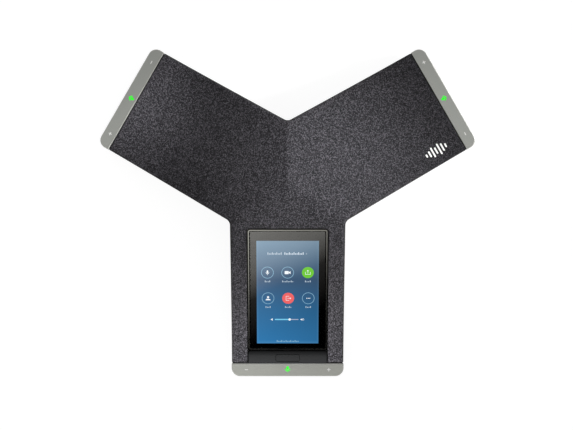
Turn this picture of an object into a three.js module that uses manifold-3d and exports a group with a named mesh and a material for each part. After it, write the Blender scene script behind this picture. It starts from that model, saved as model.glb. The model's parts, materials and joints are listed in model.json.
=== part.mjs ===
// A three-arm conference telephone: a raised hub with three identical fabric-covered arms 120 degrees
// apart, a touch cap on the end of each arm, and a tilted touch screen with a home key in the front arm.
//
// Millimetres, +Z up. The origin is on the table in the middle of the footprint, and the front arm,
// with the screen, points along -Y. Everything is built about the middle of the hub, which lies
// HUB_BEHIND_MIDDLE behind the origin. Each arm is modelled along its own +X ("along" the arm), with
// +Y across it, and is then turned to its bearing about Z.

import * as THREE from "three";
import { mergeVertices } from "three/addons/utils/BufferGeometryUtils.js";
import Module from "manifold-3d";

const wasm = await Module();
wasm.setup();

// ---------------------------------------------------------------- driving dimensions

const ARM_BEARINGS = { front: -Math.PI / 2, right: Math.PI / 6, left: (5 * Math.PI) / 6 };
const ARM_REACH = 189.5; // hub centre to the outer face of an end cap
const ARM_HALF_WIDTH = 57.2; // half the arm's width, carried back to the hub centre
const ARM_TAPER = 0.005; // loss of half width for each millimetre along the arm
const CAP_LENGTH = 12.9; // end cap, along the arm
const CAP_GAP = 1; // shadow gap between the fabric and the cap
const HUB_BEHIND_MIDDLE = 24.5; // hub centre behind the middle of the footprint
const FABRIC_REACH = ARM_REACH - CAP_LENGTH - CAP_GAP;

const PEAK_HEIGHT = 72; // fabric at the hub centre
const TIP_HEIGHT = 19; // fabric at the end of an arm, and the flat top of a cap
const PEAK_SLOPE = -0.25;
const TIP_SLOPE = -0.1;
const EDGE_RADIUS = 3.5; // rounding along the top edges of the arms

const FABRIC_THICKNESS = 1.2;
const FABRIC_FLOOR = 9; // lower hem of the fabric
const SHELL_INSET = 1.5; // outer face of the top shell, in from the outside of the fabric
const SHELL_THICKNESS = 2.2;
const SHELL_FLOOR = 9.8;

const BASE_BOTTOM = 3;
const BASE_FLOOR_THICKNESS = 2.5;
const BASE_RIM_TOP = 8.8;
const BASE_INSET = 2.5; // rim of the base, in from the outside of the fabric
const BASE_CHAMFER = 5;
const FLOOR = BASE_BOTTOM + BASE_FLOOR_THICKNESS; // upper face of the base's floor

const SCREEN_TILT = THREE.MathUtils.degToRad(19);
const FRAME_WIDTH = 79.4;
const FRAME_LENGTH = 128.9;
const FRAME_DEPTH = 7;
const FRAME_LIP = 1.7;
const FRAME_CORNER = 2.6;
const FRAME_TOP_EDGE = { along: 41, height: 60.8 }; // upper edge of the frame's face
const GLASS = { width: 74.8, length: 124.5, thickness: 1.1, recess: 0.2 };
const PANEL = { width: 68, length: 117.6, thickness: 2 }; // a 5-inch 9:16 display module
const SCREEN_CLEARANCE = 0.9; // shadow gap around the frame

const CHIN = { width: 79, start: 164, height: 18.4, thickness: 2, scoop: 3.2, dip: 1.3 };
const KEY = { width: 23.8, length: 6.7, corner: 1.8, gap: 0.35, along: 171.1 };
const KEY_TRAVEL = 0.6;
const KEY_BOARD_TOP = 10.6;
const KEY_BOARD_THICKNESS = 1.6;

const SPEAKER_Y = 8; // centre of the loudspeaker, a little behind the hub centre
const GRILLE = { rings: 3, pitch: 9, radius: 2.8 };
const BOX_RADIUS = 46;
const BOX_BOTTOM = 22;
const BOX_TOP = 49.9;

const BOARD_BOTTOM = 7.6;
const BOARD_THICKNESS = 1.6;
const BOARD_TOP = BOARD_BOTTOM + BOARD_THICKNESS;
const BOARD = { xMin: -36, xMax: 36, yMin: -20, yMax: 30.3 };
const BAY = { halfWidth: 28.5, yMin: 32.5, yMax: 56.5, top: 19.9, wall: 1.5 };
const NETWORK_SOCKET = { xMin: -26, xMax: -10, depth: 21, height: 11.5, wall: 1.4 };
const USB_A_SOCKET = { xMin: -4.1, xMax: 9.1, depth: 14, height: 6, wall: 0.7 };
const USB_C_SOCKET = { xMin: 15.05, xMax: 23.95, depth: 7.5, height: 3.2, wall: 0.35 };
const SOCKET_GAP = 0.2; // between a socket and the wall of the bay
const CABLE_EXIT_HALF_WIDTH = 5; // notch under the rear rim

const SCREW_AT = { along: 110, across: 44 }; // one base screw in each arm
const SCREW = { head: 3.2, shank: 1.15, pilot: 1.3, clearance: 1.9, counterbore: 3.8 }; // radii
const FOOT_AT = 148; // centre of a foot, along its arm
const FOOT = { width: 13, length: 62, corner: 6 };
const VENT = { count: 6, pitch: 6, length: 34, width: 2.6, corner: 1.2 };
const MIC_AT = { along: 165, across: 47.5 };
const LOCK_AT = { x: 46, y: -13 };

const ROUND = 24; // facets of an ordinary round piece
const SMALL_ROUND = 12; // facets of a small round piece
const EPS = 0.1; // clearance between pieces that rest on one another

// ---------------------------------------------------------------- solids from three.js geometry

function solidOf(geometry) {
  const bare = geometry.clone();
  bare.deleteAttribute("normal");
  bare.deleteAttribute("uv");
  const merged = mergeVertices(bare, 1e-4);
  return new wasm.Manifold(
    new wasm.Mesh({
      numProp: 3,
      vertProperties: merged.attributes.position.array,
      triVerts: new Uint32Array(merged.index.array),
    }),
  );
}

function geometryOf(solid) {
  const { numProp, numVert, vertProperties, triVerts } = solid.getMesh();
  const positions = new Float32Array(numVert * 3);
  for (let i = 0; i < numVert; i++) {
    positions.set(vertProperties.subarray(i * numProp, i * numProp + 3), i * 3);
  }
  const geometry = new THREE.BufferGeometry();
  geometry.setAttribute("position", new THREE.BufferAttribute(positions, 3));
  geometry.setIndex(new THREE.BufferAttribute(triVerts, 1));
  geometry.computeVertexNormals();
  return geometry;
}

const join = (...solids) => solids.reduce((sum, solid) => sum.add(solid));
const cut = (solid, ...tools) => tools.reduce((rest, tool) => rest.subtract(tool), solid);
const common = (...solids) => solids.reduce((rest, solid) => rest.intersect(solid));

function box(xMin, xMax, yMin, yMax, zMin, zMax) {
  const geometry = new THREE.BoxGeometry(xMax - xMin, yMax - yMin, zMax - zMin);
  geometry.translate((xMin + xMax) / 2, (yMin + yMax) / 2, (zMin + zMax) / 2);
  return solidOf(geometry);
}

// A closed profile of [radius, height] points turned about a vertical axis at (x, y).
function turned(profile, { x = 0, y = 0, facets = ROUND } = {}) {
  const closed = [...profile, profile[0]].map(([radius, height]) => new THREE.Vector2(radius, height));
  const geometry = new THREE.LatheGeometry(closed, facets);
  geometry.rotateX(Math.PI / 2);
  geometry.translate(x, y, 0);
  const solid = solidOf(geometry);
  if (solid.volume() > 0) return solid;
  closed.reverse();
  const flipped = new THREE.LatheGeometry(closed, facets);
  flipped.rotateX(Math.PI / 2);
  flipped.translate(x, y, 0);
  return solidOf(flipped);
}

function disc(radius, zMin, zMax, { x = 0, y = 0, facets = ROUND } = {}) {
  const geometry = new THREE.CylinderGeometry(radius, radius, zMax - zMin, facets);
  geometry.rotateX(Math.PI / 2);
  geometry.translate(x, y, (zMin + zMax) / 2);
  return solidOf(geometry);
}

const ring = (inner, outer, zMin, zMax, place = {}) =>
  turned([[inner, zMin], [outer, zMin], [outer, zMax], [inner, zMax]], place);

// A polygon whose corners [x, y, radius] are rounded with true arcs.
function roundedShape(corners) {
  const shape = new THREE.Shape();
  const count = corners.length;
  corners.forEach(([x, y, radius = 0], i) => {
    const corner = new THREE.Vector2(x, y);
    const [px, py] = corners[(i + count - 1) % count];
    const [nx, ny] = corners[(i + 1) % count];
    const back = new THREE.Vector2(px, py).sub(corner).normalize();
    const ahead = new THREE.Vector2(nx, ny).sub(corner).normalize();
    const move = i === 0 ? "moveTo" : "lineTo";
    if (!radius) {
      shape[move](x, y);
      return;
    }
    const half = Math.acos(THREE.MathUtils.clamp(back.dot(ahead), -1, 1)) / 2;
    const start = corner.clone().addScaledVector(back, radius / Math.tan(half));
    const end = corner.clone().addScaledVector(ahead, radius / Math.tan(half));
    const middle = back.clone().add(ahead).normalize();
    const centre = corner.clone().addScaledVector(middle, radius / Math.sin(half));
    const from = Math.atan2(start.y - centre.y, start.x - centre.x);
    const to = Math.atan2(end.y - centre.y, end.x - centre.x);
    shape[move](start.x, start.y);
    shape.absarc(centre.x, centre.y, radius, from, to, back.cross(ahead) > 0);
  });
  shape.closePath();
  return shape;
}

function roundedRectangle(width, length, radius, x = 0, y = 0) {
  const [w, l] = [width / 2, length / 2];
  const signs = [[-1, -1], [1, -1], [1, 1], [-1, 1]];
  return roundedShape(signs.map(([sx, sy]) => [x + sx * w, y + sy * l, radius]));
}

// A shape raised from zMin to zMax. A bevel draws in both ends of the prism by `bevel`.
function prism(shape, zMin, zMax, { bevel = 0, bevelSegments = 2, curveSegments = 4 } = {}) {
  const geometry = new THREE.ExtrudeGeometry(shape, {
    depth: zMax - zMin - 2 * bevel,
    bevelEnabled: bevel > 0,
    bevelThickness: bevel,
    bevelSize: bevel,
    bevelOffset: -bevel,
    bevelSegments,
    curveSegments,
  });
  geometry.translate(0, 0, zMin + bevel);
  return solidOf(geometry);
}

// A side profile of [along, height] points, given width across the arm.
function acrossGeometry(profile, width, bevel = 0) {
  const shape = new THREE.Shape(profile.map(([along, height]) => new THREE.Vector2(along, height)));
  const geometry = new THREE.ExtrudeGeometry(shape, {
    depth: width - 2 * bevel,
    bevelEnabled: bevel > 0,
    bevelThickness: bevel,
    bevelSize: bevel,
    bevelOffset: -bevel,
    bevelSegments: 3,
  });
  geometry.translate(0, 0, bevel - width / 2);
  return geometry.rotateX(Math.PI / 2);
}

const across = (profile, width) => solidOf(acrossGeometry(profile, width));

// A flat cable or bent sheet that follows [along, height] points, `thickness` thick and `width` wide.
function bentSheet(points, thickness, width) {
  const path = points.map(([along, height]) => new THREE.Vector2(along, height));
  const side = (sign) =>
    path.map((point, i) => {
      const before = path[Math.max(i - 1, 0)];
      const after = path[Math.min(i + 1, path.length - 1)];
      const inDirection = point.clone().sub(i === 0 ? point : before);
      const outDirection = after.clone().sub(point);
      if (i === 0) inDirection.copy(outDirection);
      if (i === path.length - 1) outDirection.copy(inDirection);
      const bisector = inDirection.normalize().add(outDirection.normalize()).normalize();
      const stretch = 1 / Math.max(bisector.dot(inDirection), 0.5);
      const offset = (sign * stretch * thickness) / 2;
      return [point.x - bisector.y * offset, point.y + bisector.x * offset];
    });
  return across([...side(-1), ...side(1).reverse()], width);
}

const turnTo = (solid, bearing) => solid.rotate([0, 0, THREE.MathUtils.radToDeg(bearing)]);

function onEachArm(makeSolid) {
  return Object.values(ARM_BEARINGS).map((bearing) => turnTo(makeSolid(), bearing));
}

// ---------------------------------------------------------------- the outer form

// Height of the fabric at a distance along an arm: one cubic from peak to tip, straight beyond both.
function roofHeight(along) {
  if (along < 0) return PEAK_HEIGHT + PEAK_SLOPE * along;
  if (along > FABRIC_REACH) return TIP_HEIGHT + TIP_SLOPE * (along - FABRIC_REACH);
  const t = along / FABRIC_REACH;
  const fall = (1 - 3 * t ** 2 + 2 * t ** 3) * PEAK_HEIGHT + (3 * t ** 2 - 2 * t ** 3) * TIP_HEIGHT;
  const start = (t ** 3 - 2 * t ** 2 + t) * FABRIC_REACH * PEAK_SLOPE;
  const end = (t ** 3 - t ** 2) * FABRIC_REACH * TIP_SLOPE;
  return fall + start + end;
}

function roofProfile(alongMin, alongMax, drop, bottom) {
  const steps = 10;
  const curve = Array.from({ length: steps + 1 }, (_, i) => (i * FABRIC_REACH) / steps);
  const stations = [alongMin, ...curve, alongMax];
  const line = stations.map((along) => [along, roofHeight(along) - drop]);
  return [[alongMin, bottom], [alongMax, bottom], ...line.reverse()];
}

// Outline of the three arms in plan, drawn in by `inset` at the sides and ending at `reach`.
function armsOutline(inset, reach, tipRadius, hubRadius) {
  const half = ARM_HALF_WIDTH - inset;
  const cornerAlong = half / (Math.sqrt(3) + ARM_TAPER);
  const tipHalf = half - ARM_TAPER * reach;
  const corners = Object.values(ARM_BEARINGS).flatMap((bearing) => {
    const place = (along, side, radius) => {
      const point = new THREE.Vector2(along, side).rotateAround(new THREE.Vector2(), bearing);
      return [point.x, point.y, radius];
    };
    return [
      place(cornerAlong, -Math.sqrt(3) * cornerAlong, hubRadius),
      place(reach, -tipHalf, tipRadius),
      place(reach, tipHalf, tipRadius),
    ];
  });
  return roundedShape(corners);
}

// The domed body that the fabric and shells follow, `inset` in from the outside of the fabric.
// The three arms' slabs give the rounded edges; what lies under all three roofs gives the ridges.
function dome(inset, bottom) {
  const slopeFactor = 1.06;
  const roofDrop = inset * slopeFactor;
  const overRoof = 0.4;
  const half = ARM_HALF_WIDTH - inset;
  const wide = 4 * ARM_REACH;
  const slab = acrossGeometry(
    roofProfile(-30, FABRIC_REACH + 30, roofDrop - overRoof, bottom - 20),
    2 * half,
    Math.max(EDGE_RADIUS - inset, 1.2),
  );
  const position = slab.attributes.position;
  for (let i = 0; i < position.count; i++) {
    position.setY(i, position.getY(i) * (1 - (ARM_TAPER * position.getX(i)) / half));
  }
  const slabs = onEachArm(() => solidOf(slab));
  const roofs = onEachArm(() => across(roofProfile(-ARM_REACH, FABRIC_REACH + 20, roofDrop, bottom), wide));
  const plan = prism(armsOutline(inset - 2, FABRIC_REACH - inset, 0, 6), bottom, 2 * PEAK_HEIGHT);
  return common(join(...slabs), ...roofs, plan);
}

// ---------------------------------------------------------------- fabric, shells and base

const SCREEN_CENTRE = [
  0,
  -(FRAME_TOP_EDGE.along + (FRAME_LENGTH / 2) * Math.cos(SCREEN_TILT)),
  FRAME_TOP_EDGE.height - (FRAME_LENGTH / 2) * Math.sin(SCREEN_TILT),
];

// The well in the front arm that takes the screen and chin. It runs out through the end of the arm.
function screenWell() {
  const halfWidth = FRAME_WIDTH / 2 + SCREEN_CLEARANCE;
  const halfLength = FRAME_LENGTH / 2 + SCREEN_CLEARANCE;
  const tilt = THREE.MathUtils.radToDeg(SCREEN_TILT);
  const aroundFrame = box(-halfWidth, halfWidth, -halfLength, halfLength, -FRAME_DEPTH - 3, 40);
  const toTheTip = box(FRAME_TOP_EDGE.along + 20, ARM_REACH, -halfWidth, halfWidth, 0, PEAK_HEIGHT);
  const tilted = aroundFrame.rotate([tilt, 0, 0]).translate(SCREEN_CENTRE);
  return join(tilted, turnTo(toTheTip, ARM_BEARINGS.front));
}

function fabricCover() {
  const skin = cut(dome(0, FABRIC_FLOOR), dome(FABRIC_THICKNESS, FABRIC_FLOOR - 5));
  return cut(skin, screenWell());
}

// Round holes over the loudspeaker: one in the middle and rings of 6, 12 and 18.
function grilleHoles() {
  const { rings, pitch, radius } = GRILLE;
  const holes = [[0, SPEAKER_Y]];
  for (let ringNumber = 1; ringNumber <= rings; ringNumber++) {
    for (let i = 0; i < 6 * ringNumber; i++) {
      const angle = (i * Math.PI) / (3 * ringNumber);
      const distance = pitch * ringNumber;
      holes.push([distance * Math.cos(angle), SPEAKER_Y + distance * Math.sin(angle)]);
    }
  }
  return holes.map(([x, y]) => disc(radius, 50, 80, { x, y, facets: 6 }));
}

const BOSS_RADIUS = 3.5;
const atScrew = (radius, zMin, zMax) =>
  disc(radius, zMin, zMax, { x: SCREW_AT.along, y: SCREW_AT.across, facets: SMALL_ROUND });

function topShell() {
  const inner = dome(SHELL_INSET + SHELL_THICKNESS, SHELL_FLOOR - 5);
  const skin = cut(dome(SHELL_INSET, SHELL_FLOOR), inner);
  const collar = common(ring(42, 44.5, BOX_TOP + 2.4, 80, { y: SPEAKER_Y }), dome(2.5, SHELL_FLOOR));
  const roomy = dome(2.5, FLOOR + 0.3);
  const bosses = onEachArm(() => atScrew(BOSS_RADIUS, FLOOR + 0.4, PEAK_HEIGHT));
  const insideBosses = bosses.map((boss) => common(boss, roomy));
  const pilotHoles = onEachArm(() => atScrew(SCREW.pilot, 0, FLOOR + 13));
  const micHoles = onEachArm(() => disc(1, 9, 40, { x: MIC_AT.along, y: MIC_AT.across, facets: 8 }));
  const solid = join(skin, collar, ...insideBosses);
  return cut(solid, screenWell(), ...grilleHoles(), ...pilotHoles, ...micHoles);
}

const lockSlot = () => roundedRectangle(7.4, 3.2, 1.2, LOCK_AT.x, LOCK_AT.y);

function ventSlots() {
  return Array.from({ length: VENT.count }, (_, i) => {
    const y = -13 + i * VENT.pitch;
    const outline = roundedRectangle(VENT.length, VENT.width, VENT.corner, -4, y);
    return prism(outline, 0, FLOOR + 2, { curveSegments: 2 });
  });
}

function portBay() {
  const { halfWidth, yMin, yMax, top, wall } = BAY;
  return box(-halfWidth - wall, halfWidth + wall, yMin - wall, yMax + wall, BASE_BOTTOM + 0.5, top + wall);
}

// The hole in the front wall of the bay that a socket looks through.
function socketHole({ xMin, xMax, height }) {
  const [yMin, yMax] = [BAY.yMin - 2 * BAY.wall, BAY.yMin + BAY.wall];
  const bottom = BOARD_TOP - SOCKET_GAP;
  const top = BOARD_TOP + EPS + height + 2 * SOCKET_GAP;
  return box(xMin - SOCKET_GAP, xMax + SOCKET_GAP, yMin, yMax, bottom, top);
}

function footShape(grow = 0) {
  return roundedRectangle(FOOT.width + 2 * grow, FOOT.length + 2 * grow, FOOT.corner + grow, FOOT_AT, 0);
}

// The base without its openings: a shallow tray with a chamfer round the bottom.
function baseTray() {
  const wall = 2;
  const tipCorner = 6;
  const hubCorner = 8;
  const outlineAt = (inset, sharper) => {
    const inward = BASE_INSET + inset;
    return armsOutline(inward, ARM_REACH - inward, tipCorner - sharper, hubCorner + sharper);
  };
  const hull = prism(outlineAt(0, 0), BASE_BOTTOM, 30, { bevel: BASE_CHAMFER, bevelSegments: 1 });
  const body = common(hull, box(-ARM_REACH, ARM_REACH, -ARM_REACH, ARM_REACH, BASE_BOTTOM, BASE_RIM_TOP));
  const hollow = prism(outlineAt(wall, 1), FLOOR + 2.5, 20);
  const chamferHollow = prism(outlineAt(BASE_CHAMFER, 2), FLOOR, 20);
  return cut(body, hollow, chamferHollow);
}

function baseShell() {
  const standoffs = [[-33, -17], [33, -17], [-33, 27], [33, 27]].map(([x, y]) =>
    disc(2.6, FLOOR - 1, BOARD_BOTTOM - EPS, { x, y, facets: SMALL_ROUND }),
  );
  const { halfWidth, yMin, yMax, top } = BAY;
  const cuts = [
    box(-halfWidth, halfWidth, yMin, yMax, 0, top),
    ...[NETWORK_SOCKET, USB_A_SOCKET, USB_C_SOCKET].map(socketHole),
    box(-CABLE_EXIT_HALF_WIDTH, CABLE_EXIT_HALF_WIDTH, yMax - 1, 80, 0, FLOOR + 3.5),
    prism(lockSlot(), 0, FLOOR + 2),
    ...ventSlots(),
    ...onEachArm(() => prism(footShape(0.3), 0, BASE_BOTTOM + 1)),
    ...onEachArm(() => atScrew(SCREW.clearance, 0, FLOOR + 2)),
    ...onEachArm(() => atScrew(SCREW.counterbore, 0, BASE_BOTTOM + 1.2)),
  ];
  return cut(join(baseTray(), portBay(), ...standoffs), ...cuts);
}

const foot = () => prism(footShape(), 0, BASE_BOTTOM + 1 - EPS, { bevel: 0.6, bevelSegments: 1 });

function baseScrew() {
  const head = disc(SCREW.head, BASE_BOTTOM + 0.2, BASE_BOTTOM + 1.1, { facets: SMALL_ROUND });
  const shank = disc(SCREW.shank, BASE_BOTTOM + 1, FLOOR + 10, { facets: SMALL_ROUND });
  const drive = box(-1.8, 1.8, -0.4, 0.4, 0, BASE_BOTTOM + 0.7);
  return cut(join(head, shank), drive, turnTo(drive, Math.PI / 2));
}

// ---------------------------------------------------------------- pieces at the end of each arm

const CAP_BOTTOM = 7;
const CAP_WALL = 2;
const CAP_SIDE = ARM_HALF_WIDTH - ARM_TAPER * ARM_REACH + 0.3; // half width of a cap

function endCap() {
  const inner = ARM_REACH - CAP_LENGTH;
  const outline = (back, side, front, radius) =>
    roundedShape([[back, -side, 0.8], [front, -side, radius], [front, side, radius], [back, side, 0.8]]);
  const outside = prism(outline(inner, CAP_SIDE, ARM_REACH, 8.5), CAP_BOTTOM, TIP_HEIGHT, {
    bevel: 0.6,
    bevelSegments: 1,
    curveSegments: 5,
  });
  const hollow = prism(
    outline(inner - 5, CAP_SIDE - CAP_WALL, ARM_REACH - CAP_WALL, 6.5),
    0,
    TIP_HEIGHT - CAP_WALL,
    { curveSegments: 5 },
  );
  return cut(outside, hollow);
}

const touchBoard = () =>
  join(
    box(178, 187.2, -46, 46, 12.4, 14),
    box(181.5, 184.5, -2, 2, 13.9, 14.7),
    box(182, 184, 39, 41, 13.9, 14.7),
    box(182, 184, -41, -39, 13.9, 14.7),
  );

const GUIDE_TOP = TIP_HEIGHT - CAP_WALL - EPS;
const lightGuide = () =>
  join(
    box(179.4, 186.6, -4, 4, 14.9, GUIDE_TOP),
    box(181, 185, -43, 43, 15.6, GUIDE_TOP),
  );

const armRibbon = (hubEnd) =>
  bentSheet(
    [[hubEnd, 9.7], [hubEnd + 9.5, 9.7], [hubEnd + 18, 6.2], [176, 6.2], [180.5, 8.2], [181.5, 12.2]],
    0.4,
    9,
  );

const MIC_TOP = roofHeight(MIC_AT.along) - 1.06 * (SHELL_INSET + SHELL_THICKNESS) - 0.5;

function micBoot() {
  const profile = [
    [1, MIC_TOP - 0.9], [1, MIC_TOP - 0.1], [4, MIC_TOP - 0.1],
    [4, MIC_TOP - 4.4], [3.15, MIC_TOP - 4.4], [3.15, MIC_TOP - 0.9],
  ];
  return turned(profile, { facets: SMALL_ROUND });
}

const microphone = () => disc(3, MIC_TOP - 3.9, MIC_TOP - 1, { facets: SMALL_ROUND });

// ---------------------------------------------------------------- screen, in its own tilted frame
// +X across, +Y up the glass, +Z out of the glass; the frame's face is at zero.

function displayFrame() {
  const pocket = { width: FRAME_WIDTH - 2 * FRAME_LIP, length: FRAME_LENGTH - 2 * FRAME_LIP };
  const outside = prism(roundedRectangle(FRAME_WIDTH, FRAME_LENGTH, FRAME_CORNER), -FRAME_DEPTH, 0, {
    bevel: 0.4,
    bevelSegments: 1,
  });
  return cut(
    outside,
    prism(roundedRectangle(pocket.width, pocket.length, 1.2), -1.5, 5),
    box(-35.5, 35.5, -60, 60, -20, 5),
  );
}

const glassTop = -GLASS.recess;
const coverGlass = () =>
  prism(roundedRectangle(GLASS.width, GLASS.length, 1), glassTop - GLASS.thickness, glassTop);

const panelTop = glassTop - GLASS.thickness - 0.3;
function lcdPanel() {
  const [w, l] = [PANEL.width / 2, PANEL.length / 2];
  return box(-w, w, -l, l, panelTop - PANEL.thickness, panelTop);
}

function displayTray() {
  const bottom = panelTop - PANEL.thickness - 1.6;
  const pan = cut(
    box(-35.2, 35.2, -59.7, 59.7, bottom, panelTop - 0.3),
    box(-34.6, 34.6, -59.1, 59.1, bottom + 1.2, 5),
  );
  const lightening = [-36, 36].map((y) => box(-24, 24, y - 13, y + 13, -20, 0));
  return cut(pan, ...lightening);
}

// ---------------------------------------------------------------- chin, home key and its switch
// In the front arm's frame.

function chinPanel() {
  const end = ARM_REACH - CAP_LENGTH - 0.3;
  const { start, height, thickness, scoop, dip } = CHIN;
  const scoopSteps = 4;
  const scoopLine = Array.from({ length: scoopSteps + 1 }, (_, i) => {
    const t = i / scoopSteps;
    return [start + scoop * t, height - dip * (1 - t) ** 2];
  });
  const profile = [
    ...scoopLine,
    [end, height],
    [end, SHELL_FLOOR],
    [end - 1.6, SHELL_FLOOR],
    [end - 1.6, height - thickness],
    [start + scoop, height - thickness],
    [start, height - thickness - dip],
  ];
  const plate = across(profile.reverse(), CHIN.width);
  const [keyLength, keyWidth] = [KEY.length + 2 * KEY.gap, KEY.width + 2 * KEY.gap];
  const opening = roundedRectangle(keyLength, keyWidth, KEY.corner, KEY.along, 0);
  const posts = [-16, 16].map((y) =>
    disc(1.6, KEY_BOARD_TOP + EPS, height - 1, { x: KEY.along - 1, y, facets: SMALL_ROUND }),
  );
  return cut(join(plate, ...posts), prism(opening, 5, 30));
}

function homeKey() {
  const top = CHIN.height;
  const cap = prism(roundedRectangle(KEY.length, KEY.width, KEY.corner, KEY.along, 0), top - 2.7, top, {
    bevel: 0.25,
    bevelSegments: 1,
  });
  const underPanel = top - CHIN.thickness - EPS;
  const flangeHalf = KEY.width / 2 + 1.4;
  const flange = box(KEY.along - 2.8, KEY.along + 3, -flangeHalf, flangeHalf, underPanel - 0.7, underPanel);
  const stem = disc(1.6, 14.7, underPanel - 0.5, { x: KEY.along, facets: SMALL_ROUND });
  return join(cap, flange, stem);
}

const switchPlunger = () => disc(1.5, 12.6, 14.6, { x: KEY.along, facets: SMALL_ROUND });

function switchBody() {
  const body = box(KEY.along - 3, KEY.along + 3, -3, 3, KEY_BOARD_TOP + EPS, 13.7);
  return cut(body, disc(1.8, 11.6, 20, { x: KEY.along, facets: SMALL_ROUND }));
}

const keyBoard = () =>
  box(KEY.along - 5.2, KEY.along + 3, -20, 20, KEY_BOARD_TOP - KEY_BOARD_THICKNESS, KEY_BOARD_TOP);

// ---------------------------------------------------------------- loudspeaker

const CONE_RIM = { radius: 28, height: 52.2 };
const FLANGE = { inner: 33.2, outer: 40.4, bottom: BOX_TOP + EPS, top: 52 };
const FRONT_PLATE_TOP = 35.6;
const SPEAKER_SCREW_RADIUS = 37.6;

function fourAround(make) {
  return [45, 135, 225, 315].map((degrees) => {
    const angle = THREE.MathUtils.degToRad(degrees);
    return make(SPEAKER_SCREW_RADIUS * Math.cos(angle), SPEAKER_SCREW_RADIUS * Math.sin(angle));
  });
}

function speakerBasket() {
  const foot = FRONT_PLATE_TOP + EPS;
  const bowl = turned([
    [13.8, foot], [22, foot], [26.5, 39.2],
    [FLANGE.inner + 1, FLANGE.bottom], [FLANGE.outer, FLANGE.bottom],
    [FLANGE.outer, FLANGE.top], [FLANGE.inner, FLANGE.top], [FLANGE.inner - 0.8, FLANGE.bottom],
    [25, 40], [24.4, 39], [21, foot + 1.4], [13.8, foot + 1.4],
  ]);
  const windows = [0, 60, 120].map((degrees) =>
    box(-45, 45, -6, 6, 41.5, 48.2).rotate([0, 0, degrees]),
  );
  const holes = fourAround((x, y) => disc(1.6, 40, 60, { x, y, facets: 8 }));
  return cut(bowl, ...windows, ...holes);
}

const speakerSurround = () =>
  turned([
    [28.4, 52.1], [29.2, 52.1], [29.8, 53.4], [31, 54.2], [32.2, 53.4], [32.8, 52.1], [34.4, 52.1],
    [34.4, 52.7], [33.3, 52.7], [32.7, 53.9], [31, 54.9], [29.3, 53.9], [28.7, 52.7], [28.4, 52.7],
  ]);

const speakerCone = () =>
  turned([
    [CONE_RIM.radius, CONE_RIM.height], [CONE_RIM.radius, CONE_RIM.height + 0.6],
    [26.6, CONE_RIM.height + 0.6], [19.5, 47.2], [12.8, 43.6],
    [12.8, 42.8], [20, 46.4], [27, CONE_RIM.height],
  ]);

const dustCap = () =>
  turned([[0, 47.6], [5, 47.1], [9.5, 45.4], [12.2, 43.9], [11, 43.9], [5, 46.4], [0, 46.9]]);

const voiceCoil = () =>
  turned([[12.1, 31.5], [13, 31.5], [13, 37.5], [12.5, 37.5], [12.5, 43.3], [12.1, 43.3]]);

const spider = () =>
  turned([
    [13, 40.3], [15.5, 41], [18, 40.3], [20.5, 41], [24.2, 40.3],
    [24.2, 40.8], [20.5, 41.5], [18, 40.8], [15.5, 41.5], [13, 40.8],
  ]);

const frontPlate = () => ring(13.7, 24, 33.1, FRONT_PLATE_TOP);
const magnet = () => ring(15, 26, 27.2, 33);
const yoke = () => join(disc(25, 24.6, 27.1), disc(11.4, 27, 36));

const LEAD_ANGLE = -20;
const SPEAKER_LEGS = [[-41, 8], [41, 8], [-28, -27], [28, -27]];

function speakerBox() {
  const wall = 2;
  const profile = [
    [0, BOX_BOTTOM], [BOX_RADIUS, BOX_BOTTOM], [BOX_RADIUS, BOX_TOP], [34.4, BOX_TOP],
    [34.4, BOX_TOP - wall], [BOX_RADIUS - wall, BOX_TOP - wall],
    [BOX_RADIUS - wall, BOX_BOTTOM + wall], [0, BOX_BOTTOM + wall],
  ];
  const cup = turned(profile, { facets: 32 });
  const legs = SPEAKER_LEGS.map(([x, y]) =>
    disc(3, FLOOR + EPS, BOX_BOTTOM + 1, { x, y: y - SPEAKER_Y, facets: SMALL_ROUND }),
  );
  const screwHoles = fourAround((x, y) => disc(1.5, 40, 60, { x, y, facets: 8 }));
  const leadHole = disc(2, 40, 50, { facets: 8 }).rotate([0, 90, 0]).translate([0, 0, 37]);
  return cut(join(cup, ...legs), ...screwHoles, leadHole.rotate([0, 0, LEAD_ANGLE]));
}

function speakerScrew() {
  const head = disc(2.4, FLANGE.top + EPS, FLANGE.top + 1.6, { facets: SMALL_ROUND });
  const shank = disc(1.2, BOX_TOP - 5, FLANGE.top + 0.5, { facets: SMALL_ROUND });
  return join(head, shank);
}

const speakerGasket = () => ring(41.6, 45, BOX_TOP + EPS, BOX_TOP + 2.2, { facets: 32 });

function speakerLead() {
  const outward = new THREE.Vector3(1, 0, 0).applyAxisAngle(
    new THREE.Vector3(0, 0, 1),
    THREE.MathUtils.degToRad(LEAD_ANGLE),
  );
  const at = (distance, z) => {
    const point = outward.clone().multiplyScalar(distance);
    return point.add(new THREE.Vector3(0, SPEAKER_Y, z));
  };
  const path = new THREE.CatmullRomCurve3([
    at(30, 38), at(38, 37), at(47, 36.6), at(51.5, 31), at(52, 20), at(47, 12), at(38, 10.6), at(31, 10.6),
  ]);
  const section = new THREE.Shape().absarc(0, 0, 1, 0, 2 * Math.PI);
  const settings = { steps: 26, extrudePath: path, curveSegments: 4, bevelEnabled: false };
  return solidOf(new THREE.ExtrudeGeometry(section, settings));
}

// ---------------------------------------------------------------- electronics in the hub

function mainBoard() {
  const { xMin, xMax, yMin, yMax } = BOARD;
  return join(
    box(xMin, xMax, yMin, yMax, BOARD_BOTTOM, BOARD_TOP),
    box(-35, -27, -10, 4, BOARD_TOP - 0.5, BOARD_TOP + 2.4), // power converter
    box(22, 31, -17, -8, BOARD_TOP - 0.5, BOARD_TOP + 1.2), // network chip
    disc(3, BOARD_TOP - 0.5, BOARD_TOP + 8, { x: 30, y: 4, facets: SMALL_ROUND }), // reservoir capacitor
  );
}

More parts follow.
